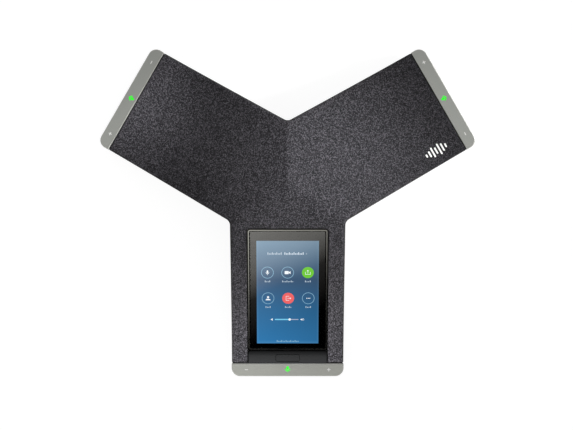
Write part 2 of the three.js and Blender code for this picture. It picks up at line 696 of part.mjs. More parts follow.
const shieldCan = () => box(-20, 6, -14, 8, BOARD_TOP + EPS, BOARD_TOP + 3);

const SOCKET_FRONT = BOARD.yMax + 0.4; // mouths of the sockets

// A socket: a metal or plastic shell open towards the port bay.
function socket({ xMin, xMax, depth, height, wall }) {
  const front = SOCKET_FRONT;
  const bottom = BOARD_TOP + EPS;
  return cut(
    box(xMin, xMax, front - depth, front, bottom, bottom + height),
    box(xMin + wall, xMax - wall, front - depth + 2, front + 5, bottom + wall, bottom + height - wall),
  );
}

// The same with round sides.
function roundSocket({ xMin, xMax, depth, height, wall }) {
  const middle = (xMin + xMax) / 2;
  const tube = (inset, from, to) => {
    const [w, h] = [xMax - xMin - 2 * inset, height - 2 * inset];
    const body = prism(roundedRectangle(w, h, h / 2 - 0.05), from, to, { curveSegments: 4 });
    return body.rotate([90, 0, 0]).translate([middle, 0, BOARD_TOP + EPS + height / 2]);
  };
  const mouth = -SOCKET_FRONT;
  return cut(tube(0, mouth, mouth + depth), tube(wall, mouth - 1, mouth + depth - 1.5));
}

const wifiAntenna = () => box(84, 112, -20, -19.2, FLOOR + EPS, 15);

function lockPlate() {
  const { x, y } = LOCK_AT;
  return cut(box(x - 6, x + 6, y - 4.5, y + 4.5, FLOOR + EPS, FLOOR + 1.7), prism(lockSlot(), 0, 20));
}

// From the back of the display tray, down behind the screen, to the front edge of the main board.
const displayRibbon = () =>
  bentSheet([[19.5, 9.8], [27, 9.8], [38, 17], [49, 28], [60, 41.5], [64, 43.2], [74, 40.1]], 0.4, 14);

// ---------------------------------------------------------------- the assembly

const phone = new THREE.Group();
const hub = new THREE.Group();
hub.position.y = HUB_BEHIND_MIDDLE;
phone.add(hub);

const arms = {};
for (const [name, bearing] of Object.entries(ARM_BEARINGS)) {
  arms[name] = new THREE.Group();
  arms[name].rotation.z = bearing;
  hub.add(arms[name]);
}

const screen = new THREE.Group();
screen.position.set(...SCREEN_CENTRE);
screen.rotation.x = SCREEN_TILT;
hub.add(screen);

const loudspeaker = new THREE.Group();
loudspeaker.position.y = SPEAKER_Y;
hub.add(loudspeaker);

const finish = (color, roughness, metalness = 0) =>
  new THREE.MeshStandardMaterial({ color, roughness, metalness });
const finishes = {
  fabric: finish(0x47464a, 0.95),
  blackPlastic: finish(0x1c1c1e, 0.6),
  greyPlastic: finish(0x3a3b3d, 0.5),
  capMetal: finish(0x9b9c96, 0.4, 0.7),
  frameMetal: finish(0x3d3f40, 0.35, 0.6),
  glass: finish(0x0a0a0b, 0.08),
  display: finish(0x356b9c, 0.3),
  steel: finish(0xb8babc, 0.35, 1),
  ferrite: finish(0x2b2b2e, 0.7),
  board: finish(0x1f5a3a, 0.6),
  rubber: finish(0x151516, 0.9),
  paper: finish(0x232326, 0.85),
  clearPlastic: finish(0xdfe4e2, 0.3),
  ribbon: finish(0xc98b3a, 0.5),
  copper: finish(0xb87333, 0.4, 1),
};

function add(parent, name, solid, material, position = [0, 0, 0]) {
  const mesh = new THREE.Mesh(geometryOf(solid), material);
  mesh.name = name;
  mesh.position.set(...position);
  parent.add(mesh);
}

add(hub, "fabric_cover", fabricCover(), finishes.fabric);
add(hub, "top_shell", topShell(), finishes.blackPlastic);
add(hub, "base_shell", baseShell(), finishes.blackPlastic);

for (const [name, arm] of Object.entries(arms)) {
  add(arm, `end_cap_${name}`, endCap(), finishes.capMetal);
  add(arm, `light_guide_${name}`, lightGuide(), finishes.clearPlastic);
  add(arm, `touch_board_${name}`, touchBoard(), finishes.board);
  add(arm, `arm_ribbon_${name}`, armRibbon(name === "front" ? 15.5 : 36), finishes.ribbon);
  add(arm, `microphone_${name}`, microphone(), finishes.steel, [MIC_AT.along, MIC_AT.across, 0]);
  add(arm, `mic_boot_${name}`, micBoot(), finishes.rubber, [MIC_AT.along, MIC_AT.across, 0]);
  add(arm, `foot_${name}`, foot(), finishes.rubber);
  add(arm, `base_screw_${name}`, baseScrew(), finishes.steel, [SCREW_AT.along, SCREW_AT.across, 0]);
}

add(screen, "display_frame", displayFrame(), finishes.frameMetal);
add(screen, "cover_glass", coverGlass(), finishes.glass);
add(screen, "lcd_panel", lcdPanel(), finishes.display);
add(screen, "display_tray", displayTray(), finishes.steel);

add(arms.front, "chin_panel", chinPanel(), finishes.greyPlastic);
add(arms.front, "home_key", homeKey(), finishes.greyPlastic);
add(arms.front, "home_key_switch", switchBody(), finishes.blackPlastic);
add(arms.front, "switch_plunger", switchPlunger(), finishes.blackPlastic);
add(arms.front, "home_key_board", keyBoard(), finishes.board);
add(arms.front, "display_ribbon", displayRibbon(), finishes.ribbon, [0, 14, 0]);

add(loudspeaker, "speaker_box", speakerBox(), finishes.blackPlastic);
add(loudspeaker, "speaker_basket", speakerBasket(), finishes.steel);
add(loudspeaker, "speaker_surround", speakerSurround(), finishes.rubber);
add(loudspeaker, "speaker_cone", speakerCone(), finishes.paper);
add(loudspeaker, "dust_cap", dustCap(), finishes.paper);
add(loudspeaker, "voice_coil", voiceCoil(), finishes.copper);
add(loudspeaker, "spider", spider(), finishes.ribbon);
add(loudspeaker, "front_plate", frontPlate(), finishes.steel);
add(loudspeaker, "magnet", magnet(), finishes.ferrite);
add(loudspeaker, "pole_yoke", yoke(), finishes.steel);
add(loudspeaker, "speaker_gasket", speakerGasket(), finishes.rubber);
fourAround((x, y) => [x, y, 0]).forEach((place, i) => {
  add(loudspeaker, `speaker_screw_${i + 1}`, speakerScrew(), finishes.steel, place);
});

add(hub, "speaker_lead", speakerLead(), finishes.rubber);
add(hub, "main_board", mainBoard(), finishes.board);
add(hub, "shield_can", shieldCan(), finishes.steel);
add(hub, "network_socket", socket(NETWORK_SOCKET), finishes.steel);
add(hub, "usb_a_socket", socket(USB_A_SOCKET), finishes.steel);
add(hub, "usb_c_socket", roundSocket(USB_C_SOCKET), finishes.steel);
add(arms.left, "wifi_antenna", wifiAntenna(), finishes.board);
add(hub, "security_lock_plate", lockPlate(), finishes.steel);

export default phone;
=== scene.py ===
import json
from math import atan, atan2, cos, hypot, pi, radians, sin, sqrt, tan

import bmesh
import bpy
import numpy as np
from mathutils import Matrix, Vector


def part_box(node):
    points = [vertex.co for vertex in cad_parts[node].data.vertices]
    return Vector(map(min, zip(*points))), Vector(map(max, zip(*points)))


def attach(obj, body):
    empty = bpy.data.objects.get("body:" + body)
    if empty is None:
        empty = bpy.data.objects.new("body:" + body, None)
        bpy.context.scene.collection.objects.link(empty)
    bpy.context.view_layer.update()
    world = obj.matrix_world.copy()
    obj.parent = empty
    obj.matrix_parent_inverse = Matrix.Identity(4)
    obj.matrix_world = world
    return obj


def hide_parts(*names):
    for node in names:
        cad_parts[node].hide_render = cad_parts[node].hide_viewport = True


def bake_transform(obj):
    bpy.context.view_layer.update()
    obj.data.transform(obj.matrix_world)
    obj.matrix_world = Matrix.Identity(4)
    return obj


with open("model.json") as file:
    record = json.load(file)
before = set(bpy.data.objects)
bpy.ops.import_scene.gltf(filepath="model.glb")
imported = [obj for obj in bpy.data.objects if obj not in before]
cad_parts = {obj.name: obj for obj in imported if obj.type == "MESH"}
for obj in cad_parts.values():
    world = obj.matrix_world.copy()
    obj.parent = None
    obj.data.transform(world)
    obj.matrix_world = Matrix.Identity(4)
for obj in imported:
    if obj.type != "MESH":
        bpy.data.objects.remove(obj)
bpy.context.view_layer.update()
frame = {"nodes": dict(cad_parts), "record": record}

# ---- driving sizes, in millimetres
# Lengths follow the CAD part. "Along" runs from the middle of the hub out along an arm, "across" to
# its left.

MM = 0.001
BEARINGS = {"front": -pi / 2, "right": pi / 6, "left": 5 * pi / 6}
ARM_REACH = 189.5
CAP_LENGTH = 12.9
CAP_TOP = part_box("end_cap_front")[1].z / MM
CAP_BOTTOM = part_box("end_cap_front")[0].z / MM
CAP_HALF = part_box("end_cap_front")[1].x / MM
FABRIC_REACH = 175.6
HALF_WIDTH = 57.2
TAPER = 0.005
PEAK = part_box("fabric_cover")[1].z / MM
TIP = 19.0
PEAK_SLOPE = -0.25
TIP_SLOPE = -0.1
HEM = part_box("fabric_cover")[0].z / MM
EDGE_RADIUS = 3.5
ROLL_RADIUS = 1.0
OPENING_ROLL = 0.5
HUB_FILLET = 7.0
RIDGE_WIDTH = 5.0
FABRIC_THICKNESS = 0.8

HUB = Matrix.Translation((0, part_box("end_cap_front")[0].y / MM + ARM_REACH, 0))

SCREEN_TILT = radians(19)
FRAME_WIDTH = 79.4
FRAME_LENGTH = 128.9
FRAME_DEPTH = 7.0
FRAME_START = 41.0
FRAME_TOP = 60.8
OPENING_GAP = 0.8
OPENING_CORNER = 3.3
GLASS_WIDTH = 74.8
GLASS_LENGTH = 124.2
GLASS_TOP = -0.2
GLASS_THICKNESS = 1.1
POCKET_DEPTH = 1.5
PICTURE_TOP = -1.5
LIT_WIDTH = 61.8
LIT_LENGTH = 110.0
LIT_CENTRE = -2.9
BUTTON_RADIUS = 6.15
LOW_ROW_SHIFT = 0.5
CHIN_START = 164.0
CHIN_TOP = 18.4
KEY_ALONG = 171.1


def arm(bearing):
    """From an arm's own frame to the row frame, both in millimetres."""
    return HUB @ Matrix.Rotation(bearing, 4, "Z")


SCREEN = (
    HUB
    @ Matrix.Translation((
        0,
        -(FRAME_START + FRAME_LENGTH / 2 * cos(SCREEN_TILT)),
        FRAME_TOP - FRAME_LENGTH / 2 * sin(SCREEN_TILT),
    ))
    @ Matrix.Rotation(SCREEN_TILT, 4, "X")
)
TO_SCREEN = (Matrix.Scale(MM, 4) @ SCREEN).inverted()

# The cloth: width of a yarn, flecks per yarn width, and the tones a fleck can have.
YARN_PITCH = 0.85
YARN_FLECK = 0.8
CLOTH_TONES = [
    (0.00, (0.0022, 0.0021, 0.0025)),
    (0.40, (0.0094, 0.0089, 0.0107)),
    (0.75, (0.0310, 0.0293, 0.0338)),
    (1.00, (0.0700, 0.0667, 0.0750)),
]

# ---- mesh helpers

# A shading limit, in degrees, under which a piece keeps flat faces.
FLAT = 1


def add_object(name, data):
    """An object in the scene for a mesh, a light or a camera."""
    piece = bpy.data.objects.new(name, data)
    bpy.context.scene.collection.objects.link(piece)
    return piece


def shade(piece, sharp):
    """Smooth shading, with edges sharper than so many degrees left crisp."""
    work = bmesh.new()
    work.from_mesh(piece.data)
    limit = radians(sharp)
    for face in work.faces:
        face.smooth = True
    for edge in work.edges:
        edge.smooth = len(edge.link_faces) != 2 or edge.calc_face_angle(0) < limit
    work.to_mesh(piece.data)
    work.free()


def piece_from(name, points, faces, material, place, sharp=35, merge=0.002):
    """A mesh object from points in millimetres, moved by place and brought to metres."""
    mesh = bpy.data.meshes.new(name)
    mesh.from_pydata(points, [], faces)
    work = bmesh.new()
    work.from_mesh(mesh)
    bmesh.ops.remove_doubles(work, verts=work.verts, dist=merge)
    bmesh.ops.dissolve_degenerate(work, edges=work.edges, dist=merge / 4)
    bmesh.ops.recalc_face_normals(work, faces=work.faces)
    work.to_mesh(mesh)
    work.free()
    mesh.transform(Matrix.Scale(MM, 4) @ place)
    mesh.materials.append(MATERIALS[material])
    piece = add_object(name, mesh)
    shade(piece, sharp)
    return piece


def ring_faces(rows, columns, closed=True):
    """Quads between rows of points stored one after another."""
    faces = []
    for i in range(rows - 1):
        for j in range(columns if closed else columns - 1):
            k = (j + 1) % columns
            low, high = i * columns, (i + 1) * columns
            faces.append((low + j, low + k, high + k, high + j))
    return faces


def closed_faces(rows, columns, start=0):
    """Quads between rings of points, with a face over each end, for points that begin at start."""
    last = (rows - 1) * columns
    faces = ring_faces(rows, columns) + [tuple(range(columns))[::-1], tuple(range(last, last + columns))]
    return [tuple(start + i for i in face) for face in faces]


def rotated(x, y, angle):
    c, s = cos(angle), sin(angle)
    return x * c - y * s, x * s + y * c


def outline(corners, inset=0.0, steps=8):
    """Points round an anticlockwise polygon of (x, y, radius) corners, drawn in by inset."""
    count = len(corners)
    points = []
    for i, (x, y, radius) in enumerate(corners):
        before = Vector(corners[i - 1][:2])
        corner = Vector((x, y))
        after = Vector(corners[(i + 1) % count][:2])
        into = (corner - before).normalized()
        out = (after - corner).normalized()
        normal_in = Vector((-into.y, into.x))
        normal_out = Vector((-out.y, out.x))
        corner += inset * (normal_in + normal_out) / (1 + normal_in.dot(normal_out))
        turn = atan2(into.x * out.y - into.y * out.x, into.dot(out))
        side = 1 if turn > 0 else -1
        bend = max(radius - side * inset, 0.02)
        start = corner - into * bend * tan(abs(turn) / 2)
        centre = start + normal_in * bend * side
        arm_out = start - centre
        for k in range(steps + 1):
            x, y = rotated(arm_out.x, arm_out.y, turn * k / steps)
            points.append((centre.x + x, centre.y + y))
    return points


def rectangle(width, length, radius, x=0.0, y=0.0):
    w, l = width / 2, length / 2
    corners = ((x - w, y - l), (x + w, y - l), (x + w, y + l), (x - w, y + l))
    return [(*corner, radius) for corner in corners]


def polar(x, y, radius, angle):
    return x + radius * cos(angle), y + radius * sin(angle)


def quarter(radius, steps):
    """(inset, height) steps of a rounded edge, from the side wall up to the flat top."""
    angles = [pi / 2 * k / steps for k in range(steps + 1)]
    return [(radius * (1 - cos(a)), radius * sin(a) - radius) for a in angles]


def rounded_block(name, corners, low, high, material, place, top=0.5, bottom=0.3, steps=8, round_steps=4):
    """A prism with rounded upper and lower edges."""
    profile = [(inset, low - drop) for inset, drop in reversed(quarter(bottom, round_steps))]
    profile += [(inset, high + drop) for inset, drop in quarter(top, round_steps)]
    points = [(x, y, z) for inset, z in profile for x, y in outline(corners, inset, steps)]
    faces = closed_faces(len(profile), len(points) // len(profile))
    return piece_from(name, points, faces, material, place)


def swept(name, profile, half_width, material, place, sharp):
    """A closed profile of (along, height) points carried straight across an arm."""
    points = [(along, y, height) for y in (-half_width, half_width) for along, height in profile]
    return piece_from(name, points, closed_faces(2, len(profile)), material, place, sharp)


def turned(name, profile, material, place, facets):
    """A profile of (radius, height) points turned about the place's Z axis."""
    points = []
    for k in range(facets):
        angle = 2 * pi * k / facets
        points += [(r * cos(angle), r * sin(angle), z) for r, z in profile]
    columns = len(profile)
    faces = []
    for i in range(facets):
        for j in range(columns - 1):
            a, b = i * columns, ((i + 1) % facets) * columns
            faces.append((a + j, b + j, b + j + 1, a + j + 1))
    return piece_from(name, points, faces, material, place)


def carve(piece, *cutters, sharp=35):
    """Cuts closed cutters out of a closed piece for good, and removes the cutters."""
    for cutter in cutters:
        modifier = piece.modifiers.new("cut", "BOOLEAN")
        modifier.operation = "DIFFERENCE"
        modifier.solver = "EXACT"
        modifier.object = cutter
    bpy.context.view_layer.update()
    evaluated = piece.evaluated_get(bpy.context.evaluated_depsgraph_get())
    mesh = bpy.data.meshes.new_from_object(evaluated)
    piece.modifiers.clear()
    piece.data = mesh
    for cutter in cutters:
        bpy.data.objects.remove(cutter)
    shade(piece, sharp)


def even_normals(piece):
    """Keeps large flat faces flat-looking beside small rounded edges."""
    piece.modifiers.new("even_normals", "WEIGHTED_NORMAL").keep_sharp = True


def set_attribute(piece, name, values):
    """Stores one number per vertex, for a material to read."""
    piece.data.attributes.new(name, "FLOAT", "POINT").data.foreach_set("value", values)


def settle(piece, slot, *nodes, body="casing"):
    """Hides the CAD parts that the piece stands in for and hangs it on the body it rides on; the slot
    argument is not used.
    """
    if nodes:
        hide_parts(*nodes)
    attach(piece, body)


# ---- material helpers


class Shader:
    """A node material under construction. node() adds one node and returns one of its outputs."""

    def __init__(self, name):
        self.material = bpy.data.materials.new(name)
        self.material.use_nodes = True
        self.tree = self.material.node_tree
        self.tree.nodes.clear()
        self.place = self.node("TexCoord", out="Object")

    def node(self, kind, inputs=None, out=0, **settings):
        node = self.tree.nodes.new("ShaderNode" + kind)
        for key, value in settings.items():
            setattr(node, key, value)
        for key, value in (inputs or {}).items():
            self.feed(node.inputs[key], value)
        return node.outputs[out]

    def feed(self, socket, value):
        if isinstance(value, bpy.types.NodeSocket):
            self.tree.links.new(value, socket)
        elif isinstance(value, tuple) and len(value) == 3 and socket.type == "RGBA":
            socket.default_value = (*value, 1)
        else:
            socket.default_value = value

    def math(self, operation, a, b=0.0):
        return self.node("Math", {0: a, 1: b}, operation=operation)

    def times(self, a, b):
        return self.math("MULTIPLY", a, b)

    def pattern(self, kind, size_mm, **inputs):
        """A texture with features about size_mm across."""
        at = self.node("Mapping", {"Vector": self.place, "Scale": (1 / (size_mm * MM),) * 3})
        return self.node(kind, {"Vector": at, "Scale": 1.0, **inputs})

    def noise(self, size_mm, detail=2.0, rough=0.5):
        return self.pattern("TexNoise", size_mm, Detail=detail, Roughness=rough)

    def parts(self, vector):
        """The X, Y and Z outputs of a vector."""
        return self.node("SeparateXYZ", {0: vector}).node.outputs

    def grey(self, value):
        return self.node("CombineColor", {0: value, 1: value, 2: value})

    def attribute(self, name, out="Fac"):
        return self.node("Attribute", attribute_name=name, out=out)

    def ramp(self, factor, *stops):
        node = self.tree.nodes.new("ShaderNodeValToRGB")
        self.feed(node.inputs[0], factor)
        elements = node.color_ramp.elements
        while len(elements) < len(stops):
            elements.new(0.5)
        for element, (position, color) in zip(elements, stops):
            element.position = position
            element.color = (*color, 1) if isinstance(color, tuple) else (color, color, color, 1)
        return node.outputs[0]

    def spread(self, value, low, high):
        """Carries 0..1 to low..high."""
        return self.node("MapRange", {"Value": value, "To Min": low, "To Max": high})

    def mix(self, factor, a, b, blend="MIX"):
        return self.node("Mix", {0: factor, 6: a, 7: b}, 2, data_type="RGBA", blend_type=blend)

    def tint(self, a, b):
        return self.mix(1.0, a, b, "MULTIPLY")

    def bump(self, height, depth_mm, strength=1.0, normal=None):
        inputs = {"Height": height, "Distance": depth_mm * MM, "Strength": strength}
        if normal:
            inputs["Normal"] = normal
        return self.node("Bump", inputs, out="Normal")

    def finish(self, shader):
        output = self.tree.nodes.new("ShaderNodeOutputMaterial")
        self.tree.links.new(shader, output.inputs["Surface"])
        return self.material

    def principled(self, **inputs):
        names = {key.replace("_", " "): value for key, value in inputs.items()}
        return self.finish(self.node("BsdfPrincipled", names))


def moulded(name, color, roughness, grain, depth, metal=0.0, vary=0.12, **more):
    """Plastic, rubber or metal with a fine grain, slight tone changes and uneven gloss."""
    s = Shader(name)
    fine = s.noise(grain, detail=3)
    broad = s.noise(25, detail=2)
    both = s.math("ADD", s.times(fine, 0.5), s.times(broad, 0.5))
    tinted = s.tint(color, s.grey(s.spread(both, 1 - vary, 1 + vary)))
    gloss = s.spread(broad, roughness - 0.05, roughness + 0.05)
    return s.principled(
        Base_Color=tinted, Roughness=gloss, Metallic=metal, Normal=s.bump(fine, depth, 0.6), **more
    )


def chin_painted_shade():
    """Satin grey plastic, with painted shade that darkens it towards the hollow beside the screen."""
    s = Shader("chin_satin_painted_shade")
    fine = s.noise(0.25, detail=3)
    # Painted shade: the colour runs from a quarter of its grey at the chin's screen edge to full grey 12
    # mm further out.
    edge = (HUB @ Vector((0, -CHIN_START, 0))).y * MM
    into = s.times(s.math("SUBTRACT", edge, s.parts(s.place)[1]), 1 / (12 * MM))
    tone = s.ramp(into, (0.0, 0.013), (0.25, 0.025), (0.6, 0.043), (1.0, 0.053))
    tinted = s.tint(tone, (0.96, 1.0, 1.08))
    return s.principled(
        Base_Color=tinted, Roughness=s.spread(fine, 0.5, 0.6), Normal=s.bump(fine, 0.006, 0.5),
        Specular_IOR_Level=0.2,
    )


def glowing(name, color, strength=1.0, body=0.001, roughness=0.03):
    """A lit mark: its own light, a little uneven, over a body that reflects a share of the same colour."""
    s = Shader(name)
    level = s.spread(s.noise(0.4), strength * 0.93, strength * 1.07)
    base = tuple(part * body for part in color)
    return s.principled(
        Base_Color=base, Emission_Color=color, Emission_Strength=level, Roughness=roughness
    )


def speaker_cloth():
    """Charcoal melange cloth: a plain weave of yarns that change from dark to pale grey as they run, with
    painted light and shade over the weave and painted shade on the cloth's steep faces.
    """
    s = Shader("charcoal_speaker_cloth")
    weave = s.attribute("cloth", "Vector")
    x, y = s.parts(s.node("VectorMath", {0: weave, 3: 1 / YARN_PITCH}, operation="SCALE"))[:2]

    def yarns(along, lane, seed):
        """Height and tone of one set of yarns, each in its lane, that dive under every second crossing."""
        number = s.math("FLOOR", lane)
        round_top = s.math("ABSOLUTE", s.math("SINE", s.times(lane, pi)))
        phase = s.math("ADD", s.math("ADD", along, number), seed)
        lift = s.math("SINE", s.times(phase, pi))
        height = s.math("ADD", s.times(round_top, 0.6), s.times(lift, 0.4))
        start = s.node("TexWhiteNoise", {1: s.math("ADD", number, 0.37 + seed)}, noise_dimensions="1D")
        fleck = s.math("FLOOR", s.math("ADD", s.times(along, YARN_FLECK), start))
        place = s.node("CombineXYZ", {0: fleck, 1: number, 2: 3.7 + seed})
        return height, s.node("TexWhiteNoise", {0: place}, noise_dimensions="3D")

    warp, warp_tone = yarns(x, y, 0)
    weft, weft_tone = yarns(y, x, 1)
    on_top = s.math("GREATER_THAN", warp, weft)
    tone = s.node("Mix", {0: on_top, 2: weft_tone, 3: warp_tone}, data_type="FLOAT")
    height = s.math("MAXIMUM", warp, weft)
    color = s.ramp(tone, *CLOTH_TONES)
    # Painted light and shade: each yarn lighter on its top and darker where it dips under its neighbour.
    depth = s.spread(height, 0.5, 1.2)
    # Painted shade: the colour drops to half on faces tilted between about 50 and 70 degrees, to 0.85 on
    # upright walls, and stays full on faces that look up.
    upright = s.parts(s.node("NewGeometry", out="Normal"))[2]
    depth = s.times(depth, s.ramp(upright, (0.0, 0.85), (0.3, 0.5), (0.6, 0.5), (0.9, 1.0)))
    color = s.tint(color, s.grey(depth))
    fuzz = s.bump(s.noise(0.25, detail=3), 0.05, 0.5)
    normal = s.bump(height, 0.2, 0.7, fuzz)
    return s.principled(
        Base_Color=color, Roughness=0.95, Sheen_Weight=0.05, Sheen_Roughness=0.7, Normal=normal,
        Specular_IOR_Level=0.07,
    )


def cap_finish():
    """Fine bead-blasted metal paint, warm silver grey, with a painted highlight along its rounded upper
    edge.
    """
    s = Shader("cap_satin_metal")
    grain = s.noise(0.5, detail=4, rough=0.7)
    broad = s.noise(18, detail=2)
    tone = s.ramp(grain, (0.3, (0.296, 0.303, 0.282)), (0.7, (0.422, 0.43, 0.401)))
    tone = s.mix(s.times(broad, 0.25), tone, (0.446, 0.453, 0.422))
    # Painted highlight: a pale band over the rounded upper edge, read from the edge attribute.
    painted_edge_highlight = s.ramp(s.attribute("edge"), (0.0, 0.0), (0.25, 0.8), (0.8, 0.0))
    tone = s.mix(painted_edge_highlight, tone, (0.85, 0.85, 0.81))
    return s.principled(
        Base_Color=tone, Metallic=0.35, Roughness=s.spread(grain, 0.42, 0.55),
        Normal=s.bump(grain, 0.012, 0.5),
    )


def screen_picture():
    """The lit display: a blue gradient, brighter at the top left and along its edges, in fine cells."""
    s = Shader("screen_picture")
    across, up = s.parts(s.attribute("screen", "Vector"))[:2]
    rise = s.ramp(
        up,
        (0.0, (0.028, 0.165, 0.37)),
        (0.35, (0.026, 0.125, 0.27)),
        (0.62, (0.035, 0.085, 0.165)),
        (1.0, (0.12, 0.22, 0.32)),
    )
    side = s.ramp(across, (0.0, 1.17), (1.0, 0.9))
    color = s.tint(rise, side)
    edge = s.math("MINIMUM", s.math("MINIMUM", across, s.math("SUBTRACT", 1.0, across)), up)
    rim = s.ramp(edge, (0.0, 0.05), (0.03, 0.0))
    color = s.mix(1.0, color, s.tint(rim, (0.5, 0.9, 1.2)), "ADD")
    dots = s.spread(s.pattern("TexVoronoi", 0.16), 0.97, 1.03)
    return s.principled(
        Base_Color=(0.0005, 0.0005, 0.0006), Roughness=smeared(s), Emission_Color=color,
        Emission_Strength=dots,
    )


def smeared(s):
    """Roughness of wiped glass: nearly a mirror, a little duller in patches."""
    return s.spread(s.noise(22, detail=2), 0.01, 0.04)


def black_glass():
    """The black border printed behind the glass, seen as one glossy layer."""
    s = Shader("bezel_black")
    return s.principled(Base_Color=s.grey(s.spread(s.noise(0.2), 0.0004, 0.0008)), Roughness=smeared(s))


def clear_glass():
    """Cover glass bonded to the display: clear, and mirror-like only round its ground edge."""
    s = Shader("cover_glass")
    gloss = s.node("BsdfGlossy", {"Roughness": smeared(s), "Color": (0.12, 0.12, 0.12)})
    clear = s.node("BsdfTransparent", {"Color": (1, 1, 1)})
    from_outside = s.math("SUBTRACT", 1.0, s.node("NewGeometry", out="Backfacing"))
    share = s.times(s.node("Fresnel", {"IOR": 1.5}), s.times(s.attribute("edge"), from_outside))
    return s.finish(s.node("MixShader", {0: share, 1: clear, 2: gloss}))


MATERIALS = {
    "fabric": speaker_cloth(),
    "cap_metal": cap_finish(),
    "grey_plastic": chin_painted_shade(),
    "bezel": black_glass(),
    "glass": clear_glass(),
    "display": screen_picture(),
    # Near-black with no gloss: painted shadow where the screen frame is not lip.
    "shadow": moulded("painted_shadow_black", (0.003, 0.003, 0.003), 0.9, 0.35, 0.0, Specular_IOR_Level=0.0),
    # Near-black painted shade for the cloth's inner wall round the screen opening.
    "opening_wall_painted_shade": moulded("opening_wall_painted_shade", (0.004, 0.004, 0.0045), 0.95, 0.4, 0.05, Specular_IOR_Level=0.05),
    "white_mark": glowing("mark_white", (0.8, 0.8, 0.78), 0.32, 0.7, 0.5),
    "green_mark": glowing("mark_green", (0.018, 1.0, 0.013), 1.0, 0.01, 0.5),
}
# name, finish, color, roughness, size and depth of the grain, metal, change of tone
for slot_name, finish, *look in (
    ("black_plastic", "black_plastic", (0.018, 0.018, 0.02), 0.55, 0.4, 0.03),
    ("frame_metal", "frame_satin", (0.085, 0.085, 0.08), 0.16, 0.2, 0.001, 1.0, 0.05),
    ("steel", "zinc_steel", (0.55, 0.56, 0.57), 0.3, 0.6, 0.01, 1.0, 0.1),
    ("ferrite", "ferrite", (0.02, 0.02, 0.022), 0.75, 0.3, 0.03),
    ("copper", "copper_wire", (0.6, 0.25, 0.11), 0.35, 0.2, 0.02, 1.0),
    ("board", "green_board", (0.015, 0.09, 0.045), 0.4, 1.5, 0.01, 0.0, 0.25),
    ("rubber", "foot_rubber", (0.013, 0.013, 0.014), 0.85, 0.3, 0.04, 0.0, 0.2),
    ("paper", "cone_paper", (0.012, 0.012, 0.013), 0.9, 0.5, 0.08, 0.0, 0.3),
    ("damper_cloth", "damper_cloth", (0.26, 0.17, 0.06), 0.8, 0.4, 0.04, 0.0, 0.2),
    ("clear_plastic", "light_guide", (0.75, 0.78, 0.77), 0.25, 0.4, 0.004, 0.0, 0.03),
    ("ribbon", "ribbon_film", (0.02, 0.02, 0.022), 0.4, 0.8, 0.005, 0.0, 0.15),
    ("white_print", "print_white", (0.78, 0.78, 0.76), 0.6, 0.5, 0.02, 0.0, 0.08),
):
    MATERIALS[slot_name] = moulded(finish, *look)
for color_name, glow in (
    ("ui_white", (0.92, 0.96, 1.0)),
    ("ui_soft_white", (0.48, 0.58, 0.68)),
    ("ui_pale", (0.62, 0.72, 0.82)),
    ("ui_blue", (0.25, 0.47, 0.64)),
    ("ui_cyan", (0.2, 0.62, 0.86)),
    ("ui_lilac", (0.42, 0.46, 0.6)),
    ("ui_green", (0.155, 0.58, 0.035)),
    ("ui_red", (0.87, 0.13, 0.13)),
):
    MATERIALS[color_name] = glowing(color_name, glow)

for node in frame["record"]["subparts"]:
    slots = frame["nodes"][node["node"]].data.materials
    slots.clear()
    slots.append(MATERIALS[node["material_slot"]])

# ---- fabric cover


def roof(along):
    """Height of the cloth at a distance along an arm, for arrays."""
    t = np.clip(along / FABRIC_REACH, 0, 1)
    height = (1 - 3 * t**2 + 2 * t**3) * PEAK + (3 * t**2 - 2 * t**3) * TIP
    height += (t**3 - 2 * t**2 + t) * FABRIC_REACH * PEAK_SLOPE + (t**3 - t**2) * FABRIC_REACH * TIP_SLOPE
    beyond = np.minimum(along, 0) * PEAK_SLOPE + np.maximum(along - FABRIC_REACH, 0) * TIP_SLOPE
    return height + beyond


def soft_max(a, b):
    h = np.maximum(RIDGE_WIDTH - np.abs(a - b), 0) / RIDGE_WIDTH
    return np.maximum(a, b) + h * h * RIDGE_WIDTH / 4


def cloth_height(x, y):
    """Height of the top of the cloth over a point given from the middle of the hub."""
    along = [x * cos(b) + y * sin(b) for b in BEARINGS.values()]
    return roof(soft_max(soft_max(along[0], along[1]), along[2]))


def rolled(distance, radius):
    """How far a rounded edge has dropped at a distance in from the edge."""
    short = radius - np.clip(distance, 0, radius)
    return radius - np.sqrt(np.maximum(radius**2 - short**2, 0))


FILLET_ALONG = (HALF_WIDTH + HUB_FILLET) / (sqrt(3) + TAPER)
FILLET_ACROSS = sqrt(3) * FILLET_ALONG
CORNER_RADIUS = hypot(FILLET_ALONG, FILLET_ACROSS) - HUB_FILLET
CORNER_ALONG = CORNER_RADIUS / 2
CORNER_ACROSS = CORNER_RADIUS * sqrt(3) / 2


def side_at(along):
    """Half width of the arm, with the fillet that joins it to its neighbour."""
    straight = HALF_WIDTH - TAPER * along
    curve = FILLET_ACROSS - np.sqrt(np.maximum(HUB_FILLET**2 - (along - FILLET_ALONG) ** 2, 0))
    return np.where(along < FILLET_ALONG, curve, straight)


def side_distance(along, across):
    """Distance in from the sides of the arms, for a point in its arm's own sector."""
    across = np.abs(across)
    straight = HALF_WIDTH - TAPER * along - across
    curve = np.hypot(along - FILLET_ALONG, across - FILLET_ACROSS) - HUB_FILLET
    return np.where(along < FILLET_ALONG, curve, straight)


OPENING_HALF = FRAME_WIDTH / 2 + OPENING_GAP
OPENING_START = FRAME_START - OPENING_GAP


